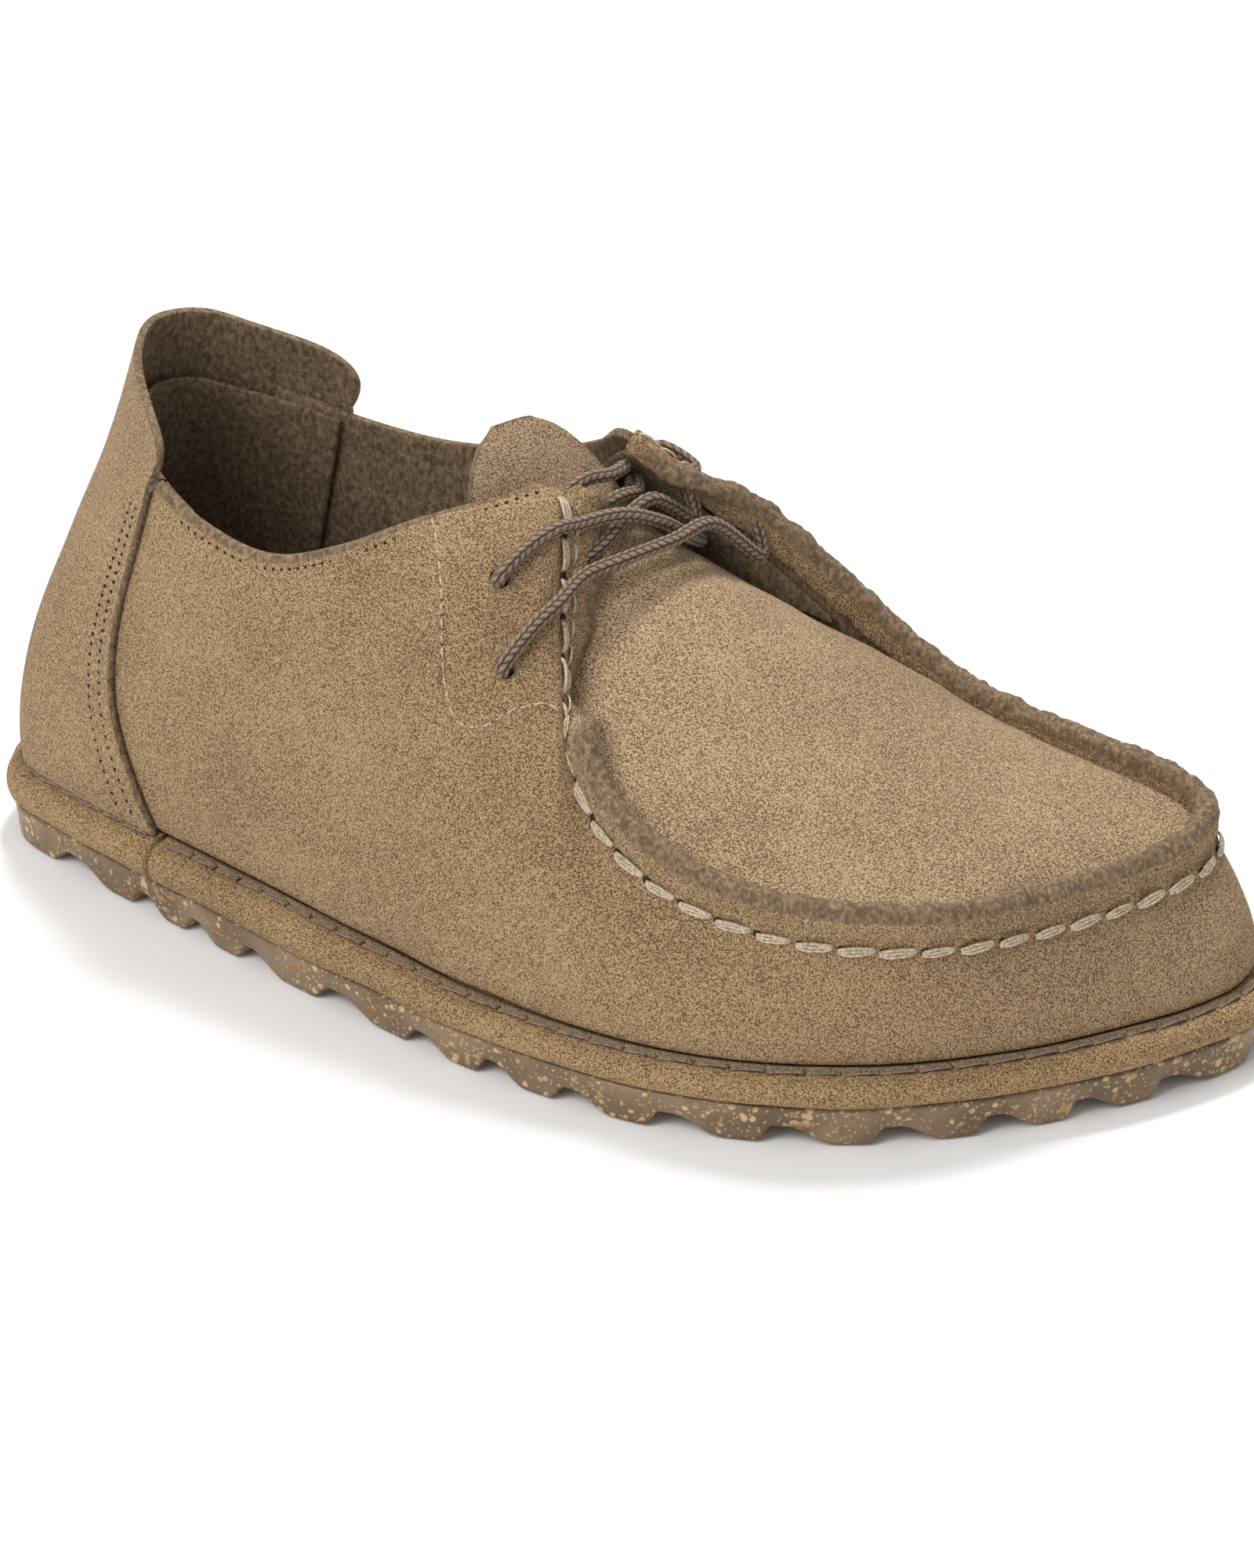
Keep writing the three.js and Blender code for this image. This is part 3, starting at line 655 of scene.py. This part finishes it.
def stitch(name, length, thick, strands, finish, sink=0.9):
    """A bowed stitch along X with its ends sunk below the leather, outside up Z."""
    t = np.linspace(-1, 1, 11)
    made = []
    for k in range(strands):
        aside = (k - (strands - 1) / 2) * thick * 1.12
        x = t * length / 2
        y = aside * (1 - 0.55 * np.abs(t)**3) + 0.12 * thick * np.sin(t * 3 + k)
        z = thick * (0.55 - (0.55 + sink) * np.abs(t)**3.2)
        made.append(tube(f"{name}_{k}", np.stack([x, y, z], -1), thick * 0.54, 7, finish))
    return joined_up(name, made)


# A near-black disc on the leather, painted shade standing for the inside of a needle hole.
def hole(name, size):
    turn = np.linspace(0, 2 * math.pi, 10, endpoint=False)
    rings = [np.stack([r * size * np.cos(turn), r * size * 0.8 * np.sin(turn),
                       z * size + 0 * turn], -1)
             for r, z in ((0.7, -0.8), (1.0, 0.0), (0.72, 0.13), (0.25, 0.02))]
    return skin(name, np.array(rings), hole_painted_shade, capped="fan")


def seam(name, surface, path, pitch, copy, finish, uneven=0.08, lean=0.0, shift=0.0, lift=0.0):
    """Copies at a pitch along a line drawn on a surface; path is pairs of surface numbers."""
    line = lifted(surface, *path(np.linspace(0, 1, 1400)), lift)
    spots, along, share = evenly(line, pitch, shift)
    out = facing_out(surface, *path(share))
    if lean:
        along = unit(along + lean * np.cross(out, along))
    thing = repeat(name, spots, along, out, copy, finish, uneven)
    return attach(thing, "root")


def through_points(points):
    """A path drawn through (row, height) points, from 0 to 1."""
    line = spline([(a, b * 10, 0) for a, b in points])

    def at(t):
        p = line(np.asarray(t, float) * (len(points) - 1))
        return p[..., 0], p[..., 1] / 10
    return at


# ---- Side wall ---------------------------------------------------------------------------
# One piece of suede that runs from the heel counter along the outer side, round the toe and
# back along the inner side, stitched down into the rand. Its cut edges show the flesh side, and
# two eyelet holes are punched through it on each side of the throat.
def rough(points, out, size, scale, seed):
    """Moves points a little in and out, so that leather isn't perfectly even."""
    shape = points.shape[:-1]
    flat = points.reshape(-1, 3)
    by = np.array([noise.noise(Vector(p * scale) + Vector((seed, 0, 0))) for p in flat])
    return points + out * (by.reshape(shape) * size)[..., None]


CUT_EDGE = 0.45 * MM


def leather(name, surface, a, across, outer, thick, finish, waves=0.25, dent=None):
    """Leather over a surface: a closed sheet with rounded cut edges and a dark flesh side."""
    grid_a, grid_b = np.meshgrid(a, across, indexing="ij")
    base = surface(grid_a, grid_b)
    out = facing_out(surface, grid_a, grid_b)
    lift = np.full(grid_a.shape, outer)
    if dent is not None:
        lift = lift + dent(grid_a, grid_b)
    base = rough(base, out, waves * MM, 55, 3.0)
    # the cut edge is rounded: the last rings on each face draw in towards each other
    round_off = np.zeros(len(across))
    from_start = walk(base[len(a) // 2])
    to_end = from_start[-1] - from_start
    for gap in (from_start, to_end):
        near = np.clip(gap / CUT_EDGE, 0, 1)
        round_off = np.maximum(round_off, 1 - np.sqrt(np.maximum(0, 1 - (1 - near)**2)))
    inner_by = lift - thick + round_off * CUT_EDGE
    outer_by = lift - round_off * CUT_EDGE
    face = base + out * outer_by[..., None]
    reverse = base + out * inner_by[..., None]
    rings = np.concatenate([face, reverse[:, ::-1]], 1)
    edge_raw = np.clip(1.25 - to_end / (0.75 * MM), 0, 1)
    flesh = np.concatenate([np.tile(edge_raw, (len(a), 1)), np.ones((len(a), len(across)))], 1)
    return skin(name, rings, finish, flesh)


def spread(low, high, count, edge=0.004):
    """Numbers from low to high with extra ones close to both ends."""
    middle = np.linspace(low, high, count)
    close = np.array([0, 0.25, 0.6, 1.0]) * edge * (high - low)
    return np.unique(np.concatenate([low + close, middle[1:-1], high - close]))


SEAM_FROM, SEAM_TO = 8.8, 33.2


def near_apron_seam(a, b):
    """The wall is drawn in a little under the big stitches below the apron seam."""
    on = smooth(SEAM_FROM, SEAM_FROM + 1, a) * (1 - smooth(SEAM_TO - 1, SEAM_TO, a))
    rise = top_line(a)[..., 2] - seam_height(a)
    below = (1 - b) * rise
    return -0.35 * MM * on * np.exp(-((below - 5 * MM) / (3 * MM))**2)


WALL_END = 2.6
EYELET_RADIUS = 1.95 * MM
wall = leather("side_wall_suede", wall_point, np.linspace(WALL_END, ROWS - WALL_END, 560),
               spread(0.004, 1, 66), 0.0, LEATHER, wall_suede, 0.35, dent=near_apron_seam)
EYELETS = {"outer_upper": (8.5, 0.73), "outer_lower": (8.95, 0.55),
           "inner_upper": (33.55, 0.76), "inner_lower": (32.9, 0.56)}
for where, (row, height) in EYELETS.items():
    middle = on_wall(np.array([row]), height, 0)[0]
    axis = facing_out(wall_point, np.array([row]), np.array([height]))[0]
    punch = tube("punch_" + where, [middle - axis * 6 * MM, middle, middle + axis * 4 * MM],
                 EYELET_RADIUS, 20, wall_suede)
    mark(punch.data, "flesh", np.full(len(punch.data.vertices), 0.8))
    cut = wall.modifiers.new("cut", "BOOLEAN")
    cut.operation, cut.solver, cut.object = "DIFFERENCE", "MANIFOLD", punch
    apply_modifier(wall, cut)
    bpy.data.objects.remove(punch)
keep(wall, ["side_wall"])


# ---- Rand --------------------------------------------------------------------------------
# A roll of suede round the foot of the upper, in a long piece round the front and a short one
# round the heel, cemented to the outsole and sewn to the wall through its upper edge.
RAND_JOINT, RAND_DEPTH, RAND_STITCH_AT = 4.02, 4.9, 0.885
rand_suede = suede("rand_suede", (0.315, 0.205, 0.098))
profile = spline([(-RAND_DEPTH, 0, 0), (-0.4, 0, 0), (1.1, 0.16, 0), (1.5, 0.42, 0), (0.9, 0.7, 0),
                  (-1.2, 0.92, 0), (-3.8, 1, 0), (-RAND_DEPTH, 1, 0)])
RAND_PITCH = 7.1 * MM
round_foot = np.linspace(0, ROWS, 3000)
foot_walk = walk(edge_point(round_foot, -1.4 * MM, seam_height(round_foot)))


def rand_surface(row, s):
    """The rand's outside: s 0 at the sole, 1 at its upper edge by the wall."""
    row, s = grids(row, s)
    p = profile(1 + s * 5)
    foot = SOLE_TOP + GAP
    rise = seam_height(row) - foot
    return edge_point(row, p[..., 0] * MM, foot + p[..., 1] * rise)


def rand(name, low, high, node_name):
    count = int(round((high - low) * 36))
    row = np.linspace(low, high, count)
    s = np.linspace(0, 1, 26)
    a, b = np.meshgrid(row, s, indexing="ij")
    face = rand_surface(a, b)
    out = facing_out(rand_surface, a, b)
    at_hole = np.cos(2 * math.pi * np.interp(a % ROWS, round_foot, foot_walk) / RAND_PITCH)
    puckers = 0.22 * MM * at_hole * np.exp(-((b - 0.8) / 0.2)**2)
    groove = -0.25 * MM * np.exp(-((b - 0.9) / 0.05)**2)
    face = rough(face + out * (puckers + groove)[..., None], out, 0.4 * MM, 60, 9.0)
    back = edge_point(row, -RAND_DEPTH * MM, seam_height(row))
    base = edge_point(row, -RAND_DEPTH * MM, SOLE_TOP + GAP)
    rings = np.concatenate([face, back[:, None], base[:, None]], 1)
    return keep(skin(name, rings, rand_suede, capped="fan"), [node_name])


def rand_line(low, high):
    """The line of the rand's stitches, a little below its upper edge."""
    def at(t):
        row = mix(low, high, np.asarray(t, float))
        return row, RAND_STITCH_AT + 0 * row
    return at


rand("rand_front_roll", RAND_JOINT, ROWS - RAND_JOINT, "rand_front")
rand("rand_heel_roll", -RAND_JOINT + 0.05, RAND_JOINT - 0.05, "rand_heel")
rand_stitch = stitch("rand_stitch", 6.7 * MM, 0.46 * MM, 3, brown_thread, 0.7)
rand_hole = hole("rand_hole", 0.8 * MM)
for name, low, high in (("front", RAND_JOINT + 0.1, ROWS - RAND_JOINT - 0.1),
                        ("heel", -RAND_JOINT + 0.15, RAND_JOINT - 0.15)):
    line = rand_line(low, high)
    seam(f"rand_{name}_stitches", rand_surface, line, RAND_PITCH, rand_stitch, brown_thread,
         lean=0.05, lift=0.3 * MM)
    seam(f"rand_{name}_holes", rand_surface, line, RAND_PITCH, rand_hole, hole_painted_shade,
         shift=RAND_PITCH / 2, lift=0.15 * MM)
bpy.data.objects.remove(rand_stitch)


# ---- Heel counter and linings ------------------------------------------------------------
# The counter wraps the back of the heel outside the wall and rises above the collar as a tab.
# The heel and facing linings are dark suede, glued and sewn inside the quarters.
COUNTER_OUTER, COUNTER_INNER = (3.95, 3.1), (4.3, 3.75)
COUNTER_LEATHER, LINING, TAB_RISE, FACING_GAP = 1.7 * MM, 1.2 * MM, 13 * MM, 0.75 * MM
back_rise = float(top_line(0.0)[2] - seam_height(np.array(0.0)))


def counter_surface(share, b):
    share, b = grids(share, b)
    tab = 1 + TAB_RISE / back_rise * np.sqrt(1 - np.minimum(1, np.abs(share))**12)
    height = b * tab
    up = np.minimum(height, 1)
    foot = np.where(share > 0, COUNTER_OUTER[0], COUNTER_INNER[0])
    top = np.where(share > 0, COUNTER_OUTER[1], COUNTER_INNER[1])
    front = mix(foot, top, up) - 0.28 * np.sin(math.pi * up) + 2.4 * (height - up)
    return wall_point(share * front, height)


shares = spread(-1, 1, 190, 0.002)
counter = leather("heel_counter_suede", counter_surface, shares, spread(0, 1, 60),
                  GAP + COUNTER_LEATHER, COUNTER_LEATHER, wall_suede, 0.3)
raw = counter.data.attributes["flesh"].data
values = np.zeros(len(raw), np.float32)
raw.foreach_get("value", values)
values = values.reshape(len(shares), -1)
values[:3] = values[-3:] = 1
raw.foreach_set("value", values.ravel())
keep(counter, ["heel_counter"])

dark_suede = suede("dark_suede", (0.24, 0.165, 0.115), 0.9)
lining = leather("heel_lining_suede", wall_point, np.linspace(-3.7, 3.7, 90),
                 spread(0.01, 0.985, 40), -LEATHER - GAP, LINING, dark_suede, 0.3)
keep(lining, ["heel_lining"])


def facing_foot(row):
    return mix(0.44, 0.93, smooth(8.4, 12.6, row))


def facing_surface(row, share):
    near = np.where(np.asarray(row, float) > ROWS / 2, ROWS - np.asarray(row, float), row)
    return wall_point(row, mix(np.minimum(facing_foot(near), 0.9), 0.92, np.asarray(share, float)))


for side, low, high in (("outer", 8, 11.9), ("inner", ROWS - 11.9, ROWS - 8)):
    facing = leather(f"{side}_facing_suede", facing_surface, np.linspace(low, high, 70),
                     spread(0, 1, 30), -LEATHER - FACING_GAP, LINING, dark_suede, 0.1)
    keep(facing, [f"{side}_facing_lining"])


# ---- Apron and tongue --------------------------------------------------------------------
# One panel of lighter suede: crowned over the toes, then narrowing into the tongue under the
# facings, which turns at its bend. It is sewn edge to edge with the wall along the ridge.
APRON_EDGE = 1.4 * MM
tongue_spine = spline([place(*p) for p in ((165, 4, 79), (155, 4, 84.5), (143.5, 2.5, 91),
                                           (131, -1.5, 99.5), (119.5, -5, 116))])
tongue_spread = spline([(v, 0, 0) for v in (1.5, 1.26, 0.99, 0.83, 0.8)])
tongue_drop = spline([(v, 0, 0) for v in (0.0122, 0.0178, 0.024, 0.027, 0.024)])
ACROSS = np.linspace(0, 1, 61)


def apron_line(back):
    inner = top_line(mix(21.5, 29, back)) - outward(np.array(mix(21.5, 29, back))) * APRON_EDGE
    outer = top_line(mix(21.5, 13, back)) - outward(np.array(mix(21.5, 13, back))) * APRON_EDGE
    line = mix(inner, outer, ACROSS[:, None])
    line[:, 2] += 21 * MM * back**2 * np.maximum(0, 4 * ACROSS * (1 - ACROSS))**0.9
    return line


TONGUE_HALF = 23 * MM


def tongue_line(up):
    tip = math.sqrt(1 - max(0, (up - 0.72) / 0.28)**2.4)
    half = float(tongue_spread(up * 4)[0]) * TONGUE_HALF * tip
    # it is wider where it passes under the foot of the facings
    half += 2.4 * MM * math.exp(-((up - 0.26) / 0.13)**2)
    aside = (1 - 2 * ACROSS) * half
    slant = mix(0.237, 0.34, up)
    middle = tongue_spine(up * 4)
    drop = float(tongue_drop(up * 4)[0]) / MM
    return middle + np.stack([aside * slant, aside, -drop * aside**2], -1)


lines = [apron_line(b) for b in (0.012, 0.04, 0.1, 0.2, 0.3, 0.4, 0.5, 0.6, 0.7, 0.8, 0.88)]
lines += [tongue_line(u)
          for u in (0.2, 0.32, 0.44, 0.56, 0.68, 0.76, 0.83, 0.89, 0.94, 0.975, 0.995)]
vamp = spline(np.array([line.ravel() for line in lines]))


def vamp_surface(a, b):
    """Apron and tongue: a 0 at the toe, 1 at the tongue's tip; b 0 on the inner edge."""
    a, b = grids(a, b)
    at = vamp(np.clip(a, 0, 1) * (len(lines) - 1)).reshape(a.shape + (len(ACROSS), 3))
    b = np.clip(b, 0, 1) * (len(ACROSS) - 1)
    i = np.minimum(np.floor(b).astype(int), len(ACROSS) - 2)
    f = (b - i)[..., None]
    low = np.take_along_axis(at, i[..., None, None], -2)[..., 0, :]
    high = np.take_along_axis(at, i[..., None, None] + 1, -2)[..., 0, :]
    return mix(low, high, f)


def vamp_skin():
    a, b = np.meshgrid(np.linspace(0.003, 0.998, 260), spread(0, 1, 110, 0.003), indexing="ij")
    base = vamp_surface(a, b)
    step = 0.004
    da = vamp_surface(np.minimum(a + step, 1), b) - vamp_surface(np.maximum(a - step, 0), b)
    db = vamp_surface(a, np.minimum(b + 0.02, 1)) - vamp_surface(a, np.maximum(b - 0.02, 0))
    out = unit(np.cross(da, db))
    base = rough(base, out, 0.5 * MM, 40, 5.0)
    base = rough(base, out, 0.18 * MM, 150, 2.0)
    # the tongue lies a little lower than the apron, clear of the lace
    base = base - out * (0.8 * MM * smooth(0.45, 0.6, a))[..., None]
    aside = np.minimum(b, 1 - b)
    thin = np.clip(aside / 0.006, 0, 1)
    edge = CUT_EDGE * (1 - np.sqrt(1 - (1 - thin)**2))
    face = base - out * edge[..., None]
    reverse = base + out * (edge - LEATHER)[..., None]
    raw = np.maximum(np.clip(1.2 - aside / 0.012, 0, 1) * (a > 0.52),
                     np.clip((a - 0.985) / 0.01, 0, 1))
    flesh = np.concatenate([raw, np.ones_like(raw)], 1)
    rings = np.concatenate([face, reverse[:, ::-1]], 1)
    return skin("apron_and_tongue", rings, apron_suede, flesh)


apron = vamp_skin()
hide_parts("apron", "tongue")
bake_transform(apron)


# ---- Apron seam --------------------------------------------------------------------------
# The wall's top edge is turned up and sewn against the edge of the apron, so that a raised ridge
# with a rough cut top runs round the toe, with bold running stitches in light thread below it.
def ridge(name, low, high):
    row = np.linspace(low, high, 900)
    top = top_line(row)
    out = facing_out(wall_point, row, 1)
    tangent = unit(top_line(row + 0.02) - top_line(row - 0.02))
    over = unit(np.cross(out, tangent))
    over *= np.sign((over * (top - wall_point(row, 0.985))).sum(-1, keepdims=True))
    toe = smooth(10.5, 13, row) * (1 - smooth(29, 31.5, row))
    over = unit(over * (1 - 0.45 * toe)[:, None] + np.array([0, 0, 0.45]) * toe[:, None])
    out = unit(out - over * (out * over).sum(-1, keepdims=True))
    ends = np.minimum(smooth(low, low + 0.2, row), 1 - smooth(high - 0.7, high, row))
    facing = 1 - smooth(10.9, 12.4, row)
    over = unit(over + 0.5 * facing[:, None] * out)
    size = (0.35 + 0.65 * ends) * (1.25 + 0.5 * facing)
    section = spline([(-1.2, 0.0, 0), (0, 0.5, 0), (1.4, 1.0, 0), (3.2, 0.9, 0), (4.4, 0.1, 0),
                      (4.6, -1.6, 0), (3.8, -3.2, 0), (1.5, -3.6, 0), (-1, -3.2, 0)], closed=True)
    turn = np.linspace(0, 9, 44, endpoint=False)
    s = section(turn) * MM
    rings = (top[:, None] + over[:, None] * (s[None, :, :1] * size[:, None, None])
             + out[:, None] * s[None, :, 1:2])
    middle = rings.mean(1, keepdims=True)
    away = unit(rings - middle)
    waves = np.sin(np.arange(len(row)) * 0.31)[:, None] * 0.12 * MM
    on_top = np.exp(-((s[:, 0] - 4.2 * MM) / (1.6 * MM))**2)
    rings = rings + away * (waves * on_top)[..., None]
    rings = rough(rings, away, 0.5 * MM, 190, 4.0)
    rings = rough(rings, away, 0.4 * MM, 700, 8.0)
    high_up = s[None, :, 0] / MM * size[:, None] - 1.9 - 1.6 * facing[:, None]
    return skin(name, rings, wall_suede, np.clip(high_up / 1.2, 0, 1) * 0.6, capped="fan")


seam_ridge = ridge("apron_seam_ridge", 9.15, 32.85)
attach(seam_ridge, "root")


def along_top(low, high, below):
    """A line on the wall a set distance below its top edge."""
    def at(t):
        row = mix(low, high, np.asarray(t, float))
        last_tenth = wall_point(row, 1) - wall_point(row, 0.9)
        return row, 1 - below / (np.linalg.norm(last_tenth, axis=-1) / 0.1)
    return at


bold = stitch("bold_stitch", 6.6 * MM, 0.56 * MM, 3, beige_thread)
fine = stitch("fine_stitch", 2.3 * MM, 0.36 * MM, 1, beige_thread, 1.2)
second = stitch("second_stitch", 4.2 * MM, 0.42 * MM, 2, beige_thread, 1.0)
needle = hole("needle_hole_mouth", 0.4 * MM)
wide_hole = hole("wide_needle_hole", 0.95 * MM)
BOLD_PITCH = 8.0 * MM
bold_line = along_top(SEAM_FROM + 0.2, SEAM_TO - 0.2, 3.4 * MM)
seam("apron_seam_stitches", wall_point, bold_line, BOLD_PITCH, bold, beige_thread,
     lean=0.1, lift=0.3 * MM)
seam("apron_seam_holes", wall_point, bold_line, BOLD_PITCH, wide_hole, hole_painted_shade,
     shift=BOLD_PITCH / 2)
for side, low, high in (("outer", SEAM_FROM + 0.5, 12.4), ("inner", 29.4, SEAM_TO - 0.5)):
    seam(f"{side}_facing_second_stitches", wall_point, along_top(low, high, -1.6 * MM), 5.2 * MM,
         second, beige_thread, lift=1.1 * MM)


# ---- Machine stitching -------------------------------------------------------------------
# A box of fine stitches holds each facing lining, two rows of needle holes hold the counter, and
# one row runs just below the collar's edge. The needle holes are near-black discs of painted shade.
BOX = [(7.25, 0.985), (7.6, 0.74), (7.95, 0.5), (8.25, 0.445), (8.7, 0.44), (9.6, 0.53),
       (11.2, 0.74)]
BOX_PITCH, COLLAR_PITCH, COUNTER_PITCH = 2.8 * MM, 2.1 * MM, 2.3 * MM
for side, box in (("outer", BOX), ("inner", [(ROWS - row, height) for row, height in BOX[::-1]])):
    line = through_points(box)
    seam(f"{side}_facing_stitches", wall_point, line, BOX_PITCH, fine, beige_thread)
    seam(f"{side}_facing_holes", wall_point, line, BOX_PITCH, needle, hole_painted_shade,
         shift=BOX_PITCH / 2)
for side, low, high in (("outer", 3.15, 8.7), ("inner", ROWS - 8.7, ROWS - 3.75)):
    seam(f"{side}_collar_needle_holes", wall_point, along_top(low, high, 2.8 * MM), COLLAR_PITCH,
         needle, hole_painted_shade)
for sign in (-1, 1):
    for k, inset in enumerate((0.04, 0.085)):
        line = through_points([(sign * (1 - inset), h) for h in (0.03, 0.25, 0.5, 0.7, 0.84)])
        seam(f"counter_needle_holes_{sign}_{k}", counter_surface, line, COUNTER_PITCH, needle,
             hole_painted_shade, lift=GAP + COUNTER_LEATHER + 0.2 * MM)
for thing in (bold, fine, second, needle, wide_hole, rand_hole):
    bpy.data.objects.remove(thing)


# ---- Lace --------------------------------------------------------------------------------
# A round braided cotton lace through four eyelets, crossed over the tongue and not tied, with its
# two ends tucked inside. Each end has a plastic tip.
LACE, OVER, UNDER = 2.7, 1.7, -5.65
UPPER_OUT, LOWER_OUT = EYELETS["outer_upper"], EYELETS["outer_lower"]
UPPER_IN, LOWER_IN = EYELETS["inner_upper"], EYELETS["inner_lower"]


def wall_at(row, height, by):
    return on_wall(np.array([row]), height, by)[0]


def through(eyelet, start, end):
    return [wall_at(*eyelet, start), wall_at(*eyelet, end)]


def over_edge(row):
    return [wall_at(row, 0.955, UNDER - 0.3), wall_at(row, 1.06, -1.4)]


route = [
    wall_at(35.1, 0.46, UNDER - 3), wall_at(34.6, 0.66, UNDER - 2),
    wall_at(34.1, 0.85, UNDER - 0.5),
    place(132.8, 14, 101.5), place(134, 7, 102.8), place(132, 0, 103.5), wall_at(9.4, 0.98, UNDER),
    wall_at(9, 0.9, UNDER), wall_at(8.75, 0.82, UNDER), *through(UPPER_OUT, UNDER, OVER),
    wall_at(8.8, 0.79, OVER), wall_at(9.2, 0.87, OVER), wall_at(9.6, 0.98, OVER),
    place(141.8, -1.5, 99.5), place(145.9, 7, 95.5), place(147.7, 13.5, 90.5),
    wall_at(32.2, 0.72, UNDER), wall_at(32.6, 0.63, UNDER), *through(LOWER_IN, UNDER, OVER),
    wall_at(32.5, 0.64, OVER), wall_at(31.9, 0.8, OVER), wall_at(31.45, 0.96, OVER + 0.9),
    *over_edge(31.15)[::-1], place(151.5, 15.8, 93.2), place(149.6, 4, 93.6), place(145.4, -7, 93),
    place(141.5, -14.2, 91.6), wall_at(10.05, 0.83, OVER), wall_at(9.5, 0.68, OVER),
    *through(LOWER_OUT, OVER, UNDER), wall_at(9.65, 0.64, UNDER - 0.4),
    wall_at(10.15, 0.79, UNDER - 1), wall_at(10.45, 0.91, UNDER - 1.4), place(138.3, -12, 91.7),
    place(140.6, -5, 95), place(140, 2, 96.5), place(141.5, 10, 98.2), *over_edge(31.9),
    wall_at(32.2, 0.94, OVER + 0.5), wall_at(32.9, 0.84, OVER), *through(UPPER_IN, OVER, UNDER),
    wall_at(33.2, 0.82, UNDER), place(137, 12, 98), place(137, 4, 99.6), wall_at(9.9, 0.975, UNDER),
    wall_at(9.4, 0.82, UNDER), wall_at(8.9, 0.73, UNDER), wall_at(8.75, 0.64, UNDER - 0.4),
    wall_at(8.35, 0.52, UNDER - 1.8), wall_at(7.8, 0.36, UNDER - 3),
]
route = spline(route)(np.linspace(0, len(route) - 1, 9000))
walked = walk(route)
steps = np.arange(0, walked[-1], 0.24 * MM)
route = part_way(route, walked, steps)
SIDES, COLUMNS, STRAND = 36, 6, 1.7 * MM
ring = np.arange(SIDES)[None] / SIDES * COLUMNS
in_column = ring % 1 - 0.5
lean_by = np.where(np.floor(ring) % 2 > 0, 0.75, -0.75) * in_column
plait = (steps[:, None] / STRAND + lean_by + 0.5 * (np.floor(ring) % 2)) % 1
rounded = (np.sqrt(np.maximum(0, 1 - (2 * plait - 1)**2))
           * np.sqrt(np.maximum(0, 1 - (2 * np.abs(in_column))**5)))
lace_finish = Finish("braided_cotton", 0.75, sheen=0.15)
where = lace_finish.place()
fuzz = lace_finish.grain(where, 1700, 4, 0.7)
braid_painted_shade = lace_finish.layer("braid_painted_shade")
# The lace colour is near black in the grooves between the braided strands and full on their tops:
# painted shade, on top of the strands' real relief.
lace_finish.feed(
    Base_Color=lace_finish.blend((0.03, 0.018, 0.011), (0.29, 0.195, 0.125),
                                 braid_painted_shade * braid_painted_shade + 1.1 * (fuzz - 0.5)),
    Normal=lace_finish.bump(fuzz, 0.0002, 0.5))
lace = tube("braided_lace", route, LACE / 2 * MM * (0.86 + 0.2 * rounded), SIDES,
            lace_finish.material)
# the mask of the strands' tops, which drives the painted shade in the grooves
mark(lace.data, "braid_painted_shade", rounded)
keep(lace, ["lace"])
tip_plastic = Finish("tip_plastic", 0.3, specular=0.5)
speck = tip_plastic.grain(tip_plastic.place(), 300, 2)
tip_plastic.feed(Base_Color=tip_plastic.blend((0.05, 0.03, 0.02), (0.09, 0.055, 0.035), speck))
for name in ("lace_tip_inner", "lace_tip_outer"):
    dress(name, tip_plastic.material)


# ---- Floor, light and camera -------------------------------------------------------------
# A white floor in a white room, with a small lamp above and behind, a wider one that fills the
# outer side, and the camera in front on that side.
FLOOR_HALF, FLOOR_LEVEL, ROOM_LIGHT = 3, -0.0004, 0.52
floor_mesh = bpy.data.meshes.new("floor")
floor_mesh.from_pydata([(x * FLOOR_HALF, y * FLOOR_HALF, FLOOR_LEVEL)
                        for x, y in ((-1, -1), (1, -1), (1, 1), (-1, 1))], [], [(0, 1, 2, 3)])
floor = add("floor", floor_mesh)
white = Finish("white_paper", 0.9, specular=0.0)
white.surface.inputs["Base Color"].default_value = (0.95, 0.95, 0.95, 1)
floor_mesh.materials.append(white.material)
floor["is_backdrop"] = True
world = bpy.data.worlds.new("white_room")
world.use_nodes = True
world.node_tree.nodes["Background"].inputs["Color"].default_value = (1, 1, 1, 1)
world.node_tree.nodes["Background"].inputs["Strength"].default_value = ROOM_LIGHT
bpy.context.scene.world = world


def panel(name, spot, aim, size, power):
    """A square lamp that faces a point."""
    lamp = bpy.data.lights.new(name, "AREA")
    lamp.shape, lamp.size, lamp.size_y, lamp.energy = "RECTANGLE", size, size, power
    lamp.spread = math.pi
    thing = add(name, lamp)
    thing.location = spot
    thing.rotation_euler = (Vector(aim) - Vector(spot)).to_track_quat("-Z", "Y").to_euler()
    thing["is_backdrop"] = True


panel("back_key", (-0.14, 0.36, 1.05), (0.02, 0, 0.04), 0.22, 8.5)
panel("side_fill", (-0.2, -0.85, 0.85), (0.0, 0, 0.05), 0.6, 7.5)

FOCAL, SENSOR = 134.62, 36
azimuth, elevation, distance = math.radians(32), math.radians(28), 0.95
target = Vector((0.00081, 0.01443, 0.030))
back = Vector((math.sin(azimuth) * math.cos(elevation), -math.cos(azimuth) * math.cos(elevation),
               math.sin(elevation)))
lens = bpy.data.cameras.new("camera")
lens.lens, lens.sensor_width, lens.sensor_fit = FOCAL, SENSOR, "HORIZONTAL"
camera = add("camera", lens)
camera.location = target + back * distance
camera.rotation_euler = (-back).to_track_quat("-Z", "Y").to_euler()
bpy.context.scene.camera = camera
bpy.context.scene.view_settings.view_transform = "Standard"

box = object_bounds()
